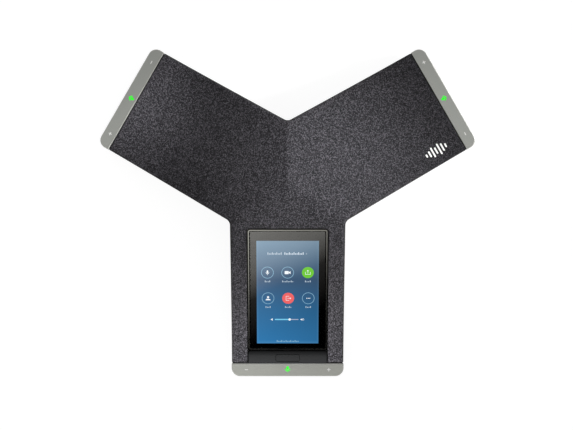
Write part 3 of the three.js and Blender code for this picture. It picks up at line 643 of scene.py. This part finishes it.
def opening_distance(along, across):
    """Distance outside the screen opening in the front arm, which runs on out through the tip."""
    dx = OPENING_START + OPENING_CORNER - along
    dy = np.abs(across) - (OPENING_HALF - OPENING_CORNER)
    outside = np.hypot(np.maximum(dx, 0), np.maximum(dy, 0))
    return outside + np.minimum(np.maximum(dx, dy), 0) - OPENING_CORNER


EDGE_STATIONS = [1 - sin(radians(a)) for a in (0, 18, 36, 54, 72, 90)]
INNER_STATIONS = 27
WALL_ROWS = 14


def across_stations(half):
    """Distances from the arm's axis to its side, closer together over the rounded edge."""
    inner = [(half - EDGE_RADIUS) * j / INNER_STATIONS for j in range(INNER_STATIONS)]
    return np.array(inner + [half - EDGE_RADIUS * s for s in EDGE_STATIONS])


def along_stations():
    """Stations from the hub corner to the tip, closer over the fillet and over the rolled tip."""
    fillet = np.linspace(CORNER_ALONG, FILLET_ALONG, 6)
    straight = np.linspace(FILLET_ALONG, FABRIC_REACH - ROLL_RADIUS, 70)[1:]
    roll = [FABRIC_REACH - ROLL_RADIUS * s for s in EDGE_STATIONS[1:]]
    return np.concatenate([fillet, straight, roll])


class Cloth:
    """Collects grids of cloth, each in its own arm's frame, as one mesh with weave coordinates."""

    def __init__(self):
        self.points, self.faces, self.weave, self.finishes = [], [], [], []

    def grid(self, bearing, along, across, height, weave=None, finish=0):
        start = len(self.points)
        x, y = rotated(along, across, bearing)
        self.points += list(zip(x.ravel(), y.ravel(), height.ravel()))
        if weave:
            x, y = rotated(*weave, bearing)
        self.weave += list(zip(x.ravel(), y.ravel()))
        faces = ring_faces(*along.shape, closed=False)
        self.faces += [tuple(start + i for i in face) for face in faces]
        self.finishes += [finish] * len(faces)

    def top(self, bearing, along, across, opening=False):
        """A stretch of the top, from its plan points in the arm's frame."""
        height = cloth_height(*rotated(along, across, bearing))
        height = height - rolled(side_distance(along, across), EDGE_RADIUS)
        height = height - rolled(FABRIC_REACH - along, ROLL_RADIUS)
        if opening:
            height = height - rolled(opening_distance(along, across), OPENING_ROLL)
        self.grid(bearing, along, across, height)
        return height

    def wall(self, bearing, along, across, height, lean=(0, 0), rows=WALL_ROWS, turn=False):
        """A wall hanging from a line of points down to the hem, or by a depth if it leans."""
        share = np.linspace(0, 1, rows)[:, None]
        if lean == (0, 0):
            z = height[None, :] * (1 - share) + HEM * share
        else:
            z = height[None, :] - share * lean[1]
        drop = height[None, :] - z
        a = along[None, :] + share * lean[0]
        b = np.repeat(across[None, :], rows, axis=0)
        weave = (a + drop, b) if turn else (a, b + np.sign(b) * drop)
        # Leaning walls, the cloth turned in round the screen opening, take the second material, a
        # near-black painted shade.
        self.grid(bearing, np.broadcast_to(a, z.shape), b, z, weave, 0 if lean == (0, 0) else 1)


def hub_patch(cloth, bearing):
    """The hub between an arm's axis and its neighbour's, as two triangles that meet at the ridge."""
    third_c, third_s = cos(2 * pi / 3), sin(2 * pi / 3)
    share = across_stations(CORNER_ACROSS) / CORNER_ACROSS
    a, b = np.meshgrid(share, share, indexing="ij")
    first = np.array([CORNER_ALONG, 0.0])
    second = np.array([CORNER_ALONG * third_c, CORNER_ALONG * third_s])
    corner = np.array([CORNER_ALONG, CORNER_ACROSS])
    weights = (a * (1 - b), b * (1 - a), a * b)
    x, y = (sum(w * p[i] for w, p in zip(weights, (first, second, corner))) for i in (0, 1))
    height = cloth_height(*rotated(x, y, bearing))
    mine = a >= b
    near_along = np.where(mine, x, x * third_c + y * third_s)
    near_across = np.where(mine, y, x * third_s - y * third_c)
    height = height - rolled(side_distance(near_along, near_across), EDGE_RADIUS)
    cloth.grid(bearing, x, y, height)


def plain_arm(cloth, bearing):
    """A rear arm: its top, its two sides and its end."""
    stations = along_stations()
    halves = np.array([across_stations(float(side_at(u))) for u in stations])
    across = np.concatenate([-halves[:, ::-1], halves[:, 1:]], axis=1)
    along = np.repeat(stations[:, None], across.shape[1], axis=1)
    height = cloth.top(bearing, along, across)
    for column in (0, -1):
        cloth.wall(bearing, along[:, column], across[:, column], height[:, column])
    cloth.wall(bearing, along[-1], across[-1], height[-1], turn=True)


def on_corner(x, y, turn):
    """Points on the opening's rounded corner about a centre."""
    return np.stack([x - OPENING_CORNER * np.cos(turn), y + OPENING_CORNER * np.sin(turn)], axis=1)


def whole(side, top):
    """A line from the tip up one side, over the top and down the other, from its left half."""
    half = np.concatenate([side[::-1], top[::-1][1:]])
    return np.concatenate([half, half[::-1][1:] * np.array([1, -1])])


def opening_line(stations, share):
    """Points on half of the opening's edge, from its corner's middle: down the side, then over the top."""
    arc = OPENING_CORNER * pi / 4
    side_length = FABRIC_REACH - OPENING_START - OPENING_CORNER + arc
    travelled = (stations - stations[0]) / (stations[-1] - stations[0]) * side_length
    turn = np.clip(travelled / OPENING_CORNER, 0, pi / 4) + pi / 4
    centre = (OPENING_START + OPENING_CORNER, OPENING_HALF - OPENING_CORNER)
    side = on_corner(centre[0] + np.maximum(travelled - arc, 0), centre[1], turn)
    top_length = centre[1] + arc
    travelled = share * top_length
    turn = np.clip((travelled - centre[1]) / OPENING_CORNER, 0, pi / 4)
    return side, on_corner(centre[0], np.minimum(travelled, centre[1]), turn)


def screen_arm(cloth, bearing):
    """The front arm: cloth round three sides of the screen, its outer sides and its end."""
    stations = along_stations()
    across = across_stations(CORNER_ACROSS)
    inner = whole(*opening_line(stations, across / CORNER_ACROSS))
    outer_top = np.stack([np.full_like(across, CORNER_ALONG), across], axis=1)
    outer = whole(np.stack([stations, side_at(stations)], axis=1), outer_top)
    length = np.linalg.norm(outer - inner, axis=1)
    near = [OPENING_ROLL * s for s in EDGE_STATIONS[::-1]]
    columns = [d / length for d in near]
    flat = length - OPENING_ROLL - EDGE_RADIUS
    columns += [(OPENING_ROLL + flat * k / 6) / length for k in range(1, 6)]
    columns += [1 - EDGE_RADIUS * s / length for s in EDGE_STATIONS]
    share = np.stack(columns, axis=1)[:, :, None]
    grid = inner[:, None, :] * (1 - share) + outer[:, None, :] * share
    height = cloth.top(bearing, grid[:, :, 0], grid[:, :, 1], opening=True)
    lean = (-5 * sin(SCREEN_TILT), 5 * cos(SCREEN_TILT))
    cloth.wall(bearing, grid[:, 0, 0], grid[:, 0, 1], height[:, 0], lean=lean, rows=4)
    for part in (slice(0, len(stations)), slice(len(outer) - len(stations), len(outer))):
        cloth.wall(bearing, grid[part, -1, 0], grid[part, -1, 1], height[part, -1])
    for end in (0, -1):
        cloth.wall(bearing, grid[end, :, 0], grid[end, :, 1], height[end], turn=True)


def fabric_cover():
    cloth = Cloth()
    for name, bearing in BEARINGS.items():
        hub_patch(cloth, bearing)
        (screen_arm if name == "front" else plain_arm)(cloth, bearing)
    mesh = bpy.data.meshes.new("fabric_cloth")
    mesh.from_pydata(cloth.points, [], cloth.faces)
    attribute = mesh.attributes.new("cloth", "FLOAT_VECTOR", "POINT")
    weave = np.array([(*w, 0.0) for w in cloth.weave], np.float32)
    attribute.data.foreach_set("vector", weave.ravel())
    mesh.polygons.foreach_set("material_index", cloth.finishes)
    work = bmesh.new()
    work.from_mesh(mesh)
    bmesh.ops.remove_doubles(work, verts=work.verts, dist=0.01)
    bmesh.ops.recalc_face_normals(work, faces=work.faces)
    work.to_mesh(mesh)
    work.free()
    mesh.transform(Matrix.Scale(MM, 4) @ HUB)
    mesh.materials.append(MATERIALS["fabric"])
    mesh.materials.append(MATERIALS["opening_wall_painted_shade"])
    piece = add_object("fabric_cloth", mesh)
    shade(piece, 75)
    thickness = piece.modifiers.new("thickness", "SOLIDIFY")
    thickness.thickness = FABRIC_THICKNESS * MM
    thickness.offset = -1
    settle(piece, "fabric", "fabric_cover")


fabric_cover()

# ---- end caps and their marks

# Thickness of the black sheet that stands in the gap behind each cap as painted shade.
GAP_SHADE_THICKNESS = 0.8
MARK_ALONG = 182.9
MARK_ACROSS = 41.6


def cap_corners(back, half, reach, radius):
    return [(back, -half, 0.8), (reach, -half, radius), (reach, half, radius), (back, half, 0.8)]


def end_cap(name, place):
    """A hollow cap, open towards the arm, with a black sheet standing in the gap between it and the cloth
    as painted shade.
    """
    wall, round_edge = 2.0, 0.8
    back = ARM_REACH - CAP_LENGTH
    cap = rounded_block(
        f"cap_{name}", cap_corners(back, CAP_HALF, ARM_REACH, 8.5), CAP_BOTTOM, CAP_TOP,
        "cap_metal", place, top=round_edge, bottom=0.5, steps=12,
    )
    hollow = rounded_block(
        "hollow", cap_corners(back - 5, CAP_HALF - wall, ARM_REACH - wall, 6.5), CAP_BOTTOM - 5,
        CAP_TOP - wall, "cap_metal", place, top=0.6, bottom=0.3, steps=12,
    )
    carve(cap, hollow)
    # The edge attribute runs from 0 on the flat top to 1 down the sides; the cap material paints its
    # highlight over the rounded edge between.
    drop = [min((CAP_TOP - vertex.co.z / MM) / round_edge, 1) for vertex in cap.data.vertices]
    set_attribute(cap, "edge", drop)
    even_normals(cap)
    settle(cap, "cap_metal", f"end_cap_{name}")
    # Painted shade: a thin black sheet fills the gap behind the cap so that it reads dark.
    gap_shade_sheet = rounded_block(
        f"cap_liner_{name}", rectangle(GAP_SHADE_THICKNESS, 2 * (CAP_HALF - 1.0), 0.3, back - GAP_SHADE_THICKNESS / 2),
        CAP_BOTTOM + 1.0, CAP_TOP - 1.6, "rubber", place, top=0.2, bottom=0.2, steps=4,
    )
    settle(gap_shade_sheet, "black_plastic")


def flat_mark(name, shapes, height, material, place, slot, thickness):
    """A thin mark made of several closed outlines, standing just proud of a face at a height."""
    points, faces = [], []
    for shape in shapes:
        faces += closed_faces(2, len(shape), len(points))
        points += [(x, y, height - 0.01) for x, y in shape]
        points += [(x, y, height + thickness) for x, y in shape]
    settle(piece_from(name, points, faces, material, place, merge=0.0005), slot)


def bar(x, y, width, length):
    """A round-ended bar."""
    return outline(rectangle(width, length, min(width, length) / 2 - 0.001, x, y), steps=5)


def turned_shape(shape, angle, x=0.0, y=0.0):
    points = [rotated(*point, angle) for point in shape]
    return [(x + px, y + py) for px, py in points]


def arc_band(x, y, radius, width, start, end, steps=20):
    """A band along an arc, angles in degrees."""
    angles = [radians(start + (end - start) * k / steps) for k in range(steps + 1)]
    outer = [polar(x, y, radius + width / 2, a) for a in angles]
    inner = [polar(x, y, radius - width / 2, a) for a in angles]
    return outer + inner[::-1]


def disc_shape(x, y, radius, steps=32):
    return [polar(x, y, radius, 2 * pi * k / steps) for k in range(steps)]


def microphone_shapes(size, body=1.9, cradle=1.75, line=0.5):
    """A microphone glyph, upright along +Y about the origin, with widths in sixths of its size."""
    u = size / 6
    return [
        bar(0, 0.9 * u, body * u, 3.7 * u),
        arc_band(0, 0.2 * u, cradle * u, line * u, 180, 360),
        bar(0, -2.2 * u, line * u, 1.6 * u),
    ]


def cap_marks(name, place):
    """Minus, plus and microphone. The bars of the plus differ in thickness, so no faces share a plane."""
    minus = bar(MARK_ALONG, -MARK_ACROSS, 0.8, 3.4)
    plus = bar(MARK_ALONG, MARK_ACROSS, 0.8, 3.7)
    cross = bar(MARK_ALONG, MARK_ACROSS, 3.7, 0.8)
    upright = microphone_shapes(6.2, 2.5, 2.15, 1.0)
    glyph = [turned_shape(shape, pi / 2, MARK_ALONG - 0.8) for shape in upright]
    for kind, shapes, material, thickness in (
        ("minus_mark", [minus], "white_mark", 0.06),
        ("plus_mark", [plus], "white_mark", 0.06),
        ("plus_mark_cross", [cross], "white_mark", 0.058),
        ("mute_mark", glyph, "green_mark", 0.06),
    ):
        flat_mark(f"{kind}_{name}", shapes, CAP_TOP, material, place, "clear_plastic", thickness)


for arm_name, arm_bearing in BEARINGS.items():
    end_cap(arm_name, arm(arm_bearing))
    cap_marks(arm_name, arm(arm_bearing))

# ---- screen


def display_frame():
    """A thin satin lip round the glass. Only the flat top of the lip is satin metal; every other face
    takes the black shadow material: the black housing below the trim, and painted shadow over the lip's
    rounded outer edge, in the gap beside it and in the pocket.
    """
    lip = 1.5
    body = rounded_block(
        "screen_frame", rectangle(FRAME_WIDTH, FRAME_LENGTH, 2.6), -FRAME_DEPTH, 0.0,
        "frame_metal", SCREEN, top=0.5, bottom=0.3, steps=8, round_steps=6,
    )
    pocket = rounded_block(
        "pocket", rectangle(FRAME_WIDTH - 2 * lip, FRAME_LENGTH - 2 * lip, 1.4), -POCKET_DEPTH, 3.0,
        "shadow", SCREEN, top=0.1, bottom=0.1,
    )
    window = rounded_block(
        "window", rectangle(71, 120, 0.8), -12, 3.0, "shadow", SCREEN, top=0.1, bottom=0.1
    )
    carve(body, pocket, window)
    body.data.materials.clear()
    body.data.materials.append(MATERIALS["frame_metal"])
    body.data.materials.append(MATERIALS["shadow"])
    # Painted shadow: all but the flat top of the lip, including its rounded outer edge, takes the black
    # shadow material.
    for face in body.data.polygons:
        at = TO_SCREEN @ face.center
        facing_up = (TO_SCREEN.to_3x3() @ face.normal).normalized().z > 0.98
        face.material_index = 0 if at.z > -POCKET_DEPTH / 2 and facing_up else 1
    even_normals(body)
    settle(body, "frame_metal", "display_frame")


def cover_glass():
    glass = rounded_block(
        "screen_glass", rectangle(GLASS_WIDTH, GLASS_LENGTH, 1.0), GLASS_TOP - GLASS_THICKNESS,
        GLASS_TOP, "glass", SCREEN, top=0.25, bottom=0.1, round_steps=3,
    )
    ground = [float((TO_SCREEN @ vertex.co).z < GLASS_TOP - 0.01) for vertex in glass.data.vertices]
    set_attribute(glass, "edge", ground)
    even_normals(glass)
    settle(glass, "glass", "cover_glass")


def printed_border():
    """The black border printed on the back of the glass, open over the lit area."""
    border = rounded_block(
        "screen_border", rectangle(GLASS_WIDTH - 0.4, GLASS_LENGTH - 0.4, 1.0), PICTURE_TOP + 0.06,
        PICTURE_TOP + 0.14, "bezel", SCREEN, top=0.02, bottom=0.02, round_steps=1,
    )
    lit = rounded_block(
        "lit", rectangle(LIT_WIDTH, LIT_LENGTH, 0.3, 0, LIT_CENTRE), -3, 1,
        "bezel", SCREEN, top=0.02, bottom=0.02, round_steps=1,
    )
    carve(border, lit, sharp=FLAT)
    settle(border, "glass")


def display_panel():
    """The display module: a thin block whose upper face is the picture."""
    low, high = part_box("lcd_panel")
    length = (high.y - low.y) / MM / cos(SCREEN_TILT) - 1.2
    panel = rounded_block(
        "screen_panel", rectangle((high.x - low.x) / MM, length, 1.0), PICTURE_TOP - 1.9, PICTURE_TOP,
        "display", SCREEN, top=0.02, bottom=0.2, round_steps=2,
    )
    attribute = panel.data.attributes.new("screen", "FLOAT_VECTOR", "POINT")
    values = []
    for vertex in panel.data.vertices:
        at = TO_SCREEN @ vertex.co
        values += [at.x / LIT_WIDTH + 0.5, (at.y - LIT_CENTRE) / LIT_LENGTH + 0.5, 0]
    attribute.data.foreach_set("vector", values)
    shade(panel, FLAT)
    settle(panel, "display", "lcd_panel")


def picture_mark(name, shapes, color, level=0):
    """Shapes shown on the display, a hair above the picture so that each colour has its own layer."""
    thickness = 0.01 + 0.006 * level
    flat_mark(f"screen_{name}", shapes, PICTURE_TOP, color, SCREEN, "display", thickness)


def greeked(x, y, width, height):
    """A line of text shown as plain letter-sized blocks, centred on x: every third one is tall."""
    pitch, fill = 1.5, 0.6
    count = max(round(width / pitch), 1)
    step = width / count
    shapes = []
    for k in range(count):
        tall = height * (0.75 if k % 3 else 1.2)
        shapes.append(bar(x - width / 2 + step * (k + 0.5), y + (tall - height) / 2, step * fill, tall))
    return shapes


def circle_line(x, y, radius, width):
    """A ring as two half bands."""
    return [arc_band(x, y, radius, width, 0, 180), arc_band(x, y, radius, width, 180, 360)]


def camera_shapes(x, y):
    lens = [(x + 1.1, y - 0.4), (x + 2.9, y - 1.5), (x + 2.9, y + 1.5), (x + 1.1, y + 0.4)]
    return [outline(rectangle(4.0, 3.3, 0.6, x - 1.0, y), steps=4), lens]


def person_shapes(x, y):
    shoulders = [(x + 2.5 * cos(a), y - 2.1 + 1.7 * sin(a)) for a in np.linspace(0, pi, 13)]
    return [disc_shape(x, y + 1.2, 1.1), shoulders]


def share_shapes(x, y):
    """An open tray with an arrow that points up out of it."""
    line = 0.38
    head = [(x - 1.1, y + 1.5), (x + 1.1, y + 1.5), (x, y + 2.8)]
    return [
        bar(x, y - 1.9, 5.4, line), bar(x - 2.5, y - 0.7, line, 2.8), bar(x + 2.5, y - 0.7, line, 2.8),
        bar(x, y + 0.4, line, 2.8), head,
    ]


def leave_shapes(x, y):
    """A doorway, open on the right, with an arrow out of it."""
    line = 0.38
    head = [(x + 1.7, y - 1.1), (x + 3.0, y), (x + 1.7, y + 1.1)]
    return [
        bar(x - 2.1, y, line, 4.8), bar(x - 0.6, y + 2.2, 3.4, line), bar(x - 0.6, y - 2.2, 3.4, line),
        bar(x + 0.6, y, 2.9, line), head,
    ]


def loudspeaker_shapes(x, y, waves):
    cone = [(x - 1.3, y - 0.5), (x - 0.5, y - 0.5), (x + 0.6, y - 1.3), (x + 0.6, y + 1.3),
            (x - 0.5, y + 0.5), (x - 1.3, y + 0.5)]
    return [cone] + [arc_band(x + 0.4, y, 0.9 + 0.8 * k, 0.3, -45, 45, 8) for k in range(waves)]


def picture():
    """A call in progress: six round buttons in two rows, a volume line, and greeked text."""
    columns = (-20.1, 0.0, 20.1)
    low_columns = [x + LOW_ROW_SHIFT for x in columns]
    top_row, low_row = 18.5, -9.0
    disc = BUTTON_RADIUS - 0.2
    share_at, leave_at = (columns[2], top_row), (low_columns[1], low_row)
    outlined = [(x, top_row) for x in columns[:2]] + [(x, low_row) for x in low_columns[::2]]
    rings = [band for at in outlined for band in circle_line(*at, disc, 0.5)]
    picture_mark("button_rings", rings, "ui_blue")
    picture_mark("share_button", [disc_shape(*share_at, disc)], "ui_green")
    picture_mark("leave_button", [disc_shape(*leave_at, disc)], "ui_red")

    icons = [turned_shape(part, 0, columns[0], top_row) for part in microphone_shapes(5.2)]
    icons += camera_shapes(columns[1], top_row) + person_shapes(low_columns[0], low_row)
    icons += [disc_shape(low_columns[2] + 1.55 * k, low_row, 0.5, 12) for k in (-1, 0, 1)]
    picture_mark("icons", icons, "ui_white", 1)
    picture_mark("button_icons", share_shapes(*share_at) + leave_shapes(*leave_at), "ui_white", 2)

    labels = []
    rows = ((top_row, columns, (5.9, 11.6, 6.4)), (low_row, low_columns, (5.6, 6.8, 6.0)))
    for row, places, widths in rows:
        for x, width in zip(places, widths):
            labels += greeked(x, row - BUTTON_RADIUS - 3.4, width, 1.6)
    picture_mark("labels", labels, "ui_soft_white")
    picture_mark("title_name", greeked(-13.0, 38.5, 14.6, 2.2), "ui_soft_white")
    picture_mark("title_number", greeked(6.3, 38.5, 19.6, 2.3) + [bar(18.6, 38.3, 0.9, 0.7)], "ui_pale")
    picture_mark("footer", greeked(0, -55.6, 22.6, 1.7), "ui_blue")

    height, left, knob, right = -31.9, -12.9, 2.0, 10.9
    picture_mark("volume_set", [bar((knob + left) / 2, height, knob - left, 1.3)], "ui_cyan")
    picture_mark("volume_rest", [bar((knob + right) / 2, height, right - knob, 0.9)], "ui_lilac")
    picture_mark("volume_knob", [disc_shape(knob, height, 1.25, 20)], "ui_white", 3)
    ends = loudspeaker_shapes(-15.6, height, 0) + loudspeaker_shapes(14.2, height, 2)
    picture_mark("volume_ends", ends, "ui_white", 1)


display_frame()
cover_glass()
printed_border()
display_panel()
picture()

# ---- chin and home key

CHIN_END = FABRIC_REACH + 0.7
FRONT = arm(BEARINGS["front"])


def key_corners(gap=0.0):
    length, width = 6.7 + 2 * gap, 23.8 + 2 * gap
    return rectangle(length, width, 1.8 + gap, KEY_ALONG, 0)


def chin():
    """A panel that dips in a hollow curve towards the screen, with a slot for the home key."""
    depth, hollow, reach, lip = 2.0, 1.9, 5.0, 0.4
    steps = [k / 12 for k in range(13)]
    curve = [(CHIN_START + reach * t, CHIN_TOP - hollow * (1 - t) ** 2) for t in steps]
    angles = np.linspace(0, 1.57, 5)
    end = [(CHIN_END - lip * (1 - sin(a)), CHIN_TOP - lip * (1 - cos(a))) for a in angles]
    skirt = [(CHIN_END, CHIN_TOP - 8), (CHIN_END - 1.6, CHIN_TOP - 8), (CHIN_END - 1.6, CHIN_TOP - depth)]
    under = [(CHIN_START + reach, CHIN_TOP - depth), (CHIN_START, CHIN_TOP - depth - hollow)]
    panel = swept("chin", curve + end + skirt + under, 39.5, "grey_plastic", FRONT, sharp=30)
    slot = rounded_block("slot", key_corners(0.35), 5, 30, "shadow", FRONT, top=0.1, bottom=0.1)
    carve(panel, slot, sharp=30)
    even_normals(panel)
    settle(panel, "grey_plastic", "chin_panel")


def home_key():
    # The key shares the chin's material, so the chin's painted shade runs on across it.
    key = rounded_block(
        "home_key_cap", key_corners(), CHIN_TOP - 2.7, CHIN_TOP, "grey_plastic", FRONT,
        top=0.3, bottom=0.1, steps=10,
    )
    flange = rounded_block(
        "home_key_flange", rectangle(5.8, 26.6, 0.5, KEY_ALONG + 0.1), CHIN_TOP - 2.95, CHIN_TOP - 2.35,
        "black_plastic", FRONT, top=0.1, bottom=0.1,
    )
    stem = turned(
        "home_key_stem", [(0, 14.7), (1.6, 14.7), (1.6, CHIN_TOP - 2.6), (0, CHIN_TOP - 2.6)],
        "black_plastic", FRONT @ Matrix.Translation((KEY_ALONG, 0, 0)), facets=24,
    )
    even_normals(key)
    settle(key, "grey_plastic", "home_key", body="home_key")
    for part in (flange, stem):
        settle(part, "grey_plastic", body="home_key")


chin()
home_key()

# ---- flexing rings of the loudspeaker


def sheet_profile(line, thickness):
    """A closed profile as thick as a sheet round a line of (radius, height) points."""
    line = np.array(line)
    slope = np.gradient(line, axis=0)
    normal = np.stack([-slope[:, 1], slope[:, 0]], axis=1) / np.linalg.norm(slope, axis=1)[:, None]
    offset = normal * thickness / 2
    return [tuple(point) for point in np.concatenate([line + offset, (line - offset)[::-1]])]


def flexing_ring(node, line, thickness, sectors, material):
    """A ring cut into sectors, each its own piece with the ring's profile along its own radius, from the
    cone inside to the casing outside.
    """
    low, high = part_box(node)
    centre = Vector(((low.x + high.x) / 2, (low.y + high.y) / 2, low.z)) / MM
    profile = sheet_profile(line, thickness)
    steps = 6
    for k in range(sectors):
        middle = 2 * pi * (k + 0.5) / sectors
        points = []
        for step in range(steps + 1):
            angle = middle + pi / sectors * (2 * step / steps - 1)
            points += [(r * cos(angle), r * sin(angle), z) for r, z in profile]
        faces = closed_faces(steps + 1, len(profile))
        piece = piece_from(f"{node}_{k + 1}", points, faces, material, Matrix.Translation(centre))
        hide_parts(node)
        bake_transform(piece)


def surround():
    """A rubber half-roll between two flat rims."""
    angles = np.linspace(pi, 0, 13)
    roll = [(31.0 + 2.1 * cos(a), 0.3 + 2.1 * sin(a)) for a in angles]
    line = [(28.4, 0.3)] + roll + [(33.8, 0.3), (34.4, 0.3)]
    flexing_ring("speaker_surround", line, 0.5, 10, "rubber")


def spider():
    """A corrugated disc of stiffened cloth that centres the voice coil."""
    inside, outside, wave = 13.0, 23.0, 5
    radii = np.linspace(inside, outside, 33)
    line = [(r, 0.6 - 0.35 * cos(2 * pi * (r - inside) / wave)) for r in radii]
    line += [(23.6, 0.25), (24.2, 0.25)]
    flexing_ring("spider", line, 0.4, 6, "damper_cloth")


surround()
spider()

# ---- mark on the cloth


def cloth_mark():
    """A generic mark on the right arm: round-ended bars, like a sound level, that follow the cloth."""
    along, across, step, width = 148.6, -41.8, 3.7, 1.7
    lengths = (3.4, 6.4, 10.6, 7.2, 12.0, 8.4, 4.4)
    place = arm(BEARINGS["right"])
    points, faces = [], []
    for k, length in enumerate(lengths):
        shape = bar(along + step * (k - 3), across, width, length)
        faces += closed_faces(2, len(shape), len(points))
        for lift in (-0.2, 0.12):
            points += [(x, y, float(roof(np.array(x))) + lift) for x, y in shape]
    settle(piece_from("arm_mark", points, faces, "white_print", place), "clear_plastic")


cloth_mark()

# ---- stage

# Strength of the white surroundings: as light on the object, and as the camera sees them.
WORLD_LIGHT = 0.525
WORLD_SEEN = 1.0


def sheet(name, wide, tall, material):
    """A single flat face, centred on its origin."""
    mesh = bpy.data.meshes.new(name)
    corners = [(-wide, -tall, 0), (wide, -tall, 0), (wide, tall, 0), (-wide, tall, 0)]
    mesh.from_pydata(corners, [], [(0, 1, 2, 3)])
    mesh.materials.append(material)
    return add_object(name, mesh)


def stage_floor():
    """A pale floor that glows faintly, so that shadows on it stay light."""
    s = Shader("floor_white")
    color = s.ramp(s.noise(400), (0.3, 0.20), (0.7, 0.22))
    material = s.principled(
        Base_Color=color, Roughness=0.9, Emission_Color=(1, 1, 1), Emission_Strength=0.9
    )
    sheet("floor", 4, 4, material)


def soft_spot(name, azimuth, elevation, target, distance, reach, power, radius):
    """A spot from a compass direction, in degrees, that fades out at a reach from its target."""
    light = bpy.data.lights.new(name, "SPOT")
    light.energy = power
    light.spot_size = 2 * atan(reach / distance)
    light.spot_blend = 1.0
    light.shadow_soft_size = radius
    turn, rise = radians(azimuth), radians(elevation)
    toward = Vector((cos(turn) * cos(rise), sin(turn) * cos(rise), sin(rise)))
    lamp = add_object(name, light)
    lamp.location = target + toward * distance
    lamp.rotation_euler = (target - lamp.location).to_track_quat("-Z", "Y").to_euler()
    return lamp


def only_on_cloth(lamp):
    """Keeps a pool of light on the cloth and its mark, off the caps and the screen."""
    receivers = bpy.data.collections.new(f"lit_by_{lamp.name}")
    for name in ("fabric_cloth", "arm_mark"):
        receivers.objects.link(bpy.data.objects[name])
    lamp.light_linking.receiver_collection = receivers


def over_arm(name, along, height):
    """A point over an arm's axis, in metres."""
    return arm(BEARINGS[name]) @ Vector((along, 0, height)) * MM


def place_lights():
    """A low key that rakes the hub, a pool on each arm's cloth and a faint one on the front cap."""
    soft_spot("key", 10, 14, over_arm("right", 20, 65), 1.3, 0.102, 362, 0.12)
    only_on_cloth(soft_spot("right_pool", 30, 75, over_arm("right", 30, 60), 1.0, 0.14, 63, 0.05))
    only_on_cloth(soft_spot("left_pool", 150, 75, over_arm("left", 185, 30), 1.0, 0.075, 118, 0.05))
    only_on_cloth(soft_spot("front_pool", 200, 75, over_arm("front", 160, 30), 1.0, 0.11, 148, 0.05))
    cap_target = over_arm("front", 185, 20) + Vector((-0.05, 0, 0))
    soft_spot("cap_pool", 200, 75, cap_target, 1.0, 0.05, 4.4, 0.05)


def screen_reflection():
    """A graded card that only the glossy surfaces see: the soft light mirrored in the glass."""
    distance = 0.6
    s = Shader("reflected_light")
    across, up = s.parts(s.place)[:2]
    leaning = s.math("SUBTRACT", up, s.times(across, 0.53))
    level = s.ramp(
        s.node("MapRange", {"Value": leaning, "From Min": -0.1, "From Max": 0.1}),
        (0.12, 0.0), (0.42, 0.05), (0.62, 0.36), (0.74, 0.45), (0.86, 0.55), (0.96, 0.62),
    )
    color = s.tint(level, (1.0, 0.985, 0.93))
    material = s.finish(s.node("Emission", {"Color": color, "Strength": 7.4}))
    card = sheet("reflection_card", 0.3, 0.22, material)
    centre = SCREEN.translation * MM
    tilt = 2 * SCREEN_TILT
    ray = Vector((0, -sin(tilt), cos(tilt)))
    card.matrix_world = Matrix.Translation(centre + ray * distance) @ Matrix.Rotation(tilt, 4, "X")
    for kind in ("camera", "diffuse", "shadow", "transmission"):
        setattr(card, f"visible_{kind}", False)


def stage():
    stage_floor()
    world = bpy.data.worlds.new("studio")
    world.use_nodes = True
    tree = world.node_tree
    background = tree.nodes["Background"]
    background.inputs["Color"].default_value = (1, 1, 1, 1)
    seen = tree.nodes.new("ShaderNodeMapRange")
    tree.links.new(tree.nodes.new("ShaderNodeLightPath").outputs["Is Camera Ray"], seen.inputs["Value"])
    seen.inputs["To Min"].default_value = WORLD_LIGHT
    seen.inputs["To Max"].default_value = WORLD_SEEN
    tree.links.new(seen.outputs[0], background.inputs["Strength"])
    bpy.context.scene.world = world
    place_lights()
    screen_reflection()
    view = bpy.context.scene.view_settings
    view.view_transform = "Standard"
    view.look = "None"


def camera():
    lens = bpy.data.cameras.new("camera")
    lens.sensor_width = 36.0
    lens.lens = 104.6
    lens.clip_end = 100
    piece = add_object("camera", lens)
    piece.location = HUB @ Vector((-1.15, -26.7, 1700)) * MM
    bpy.context.scene.camera = piece


stage()
camera()
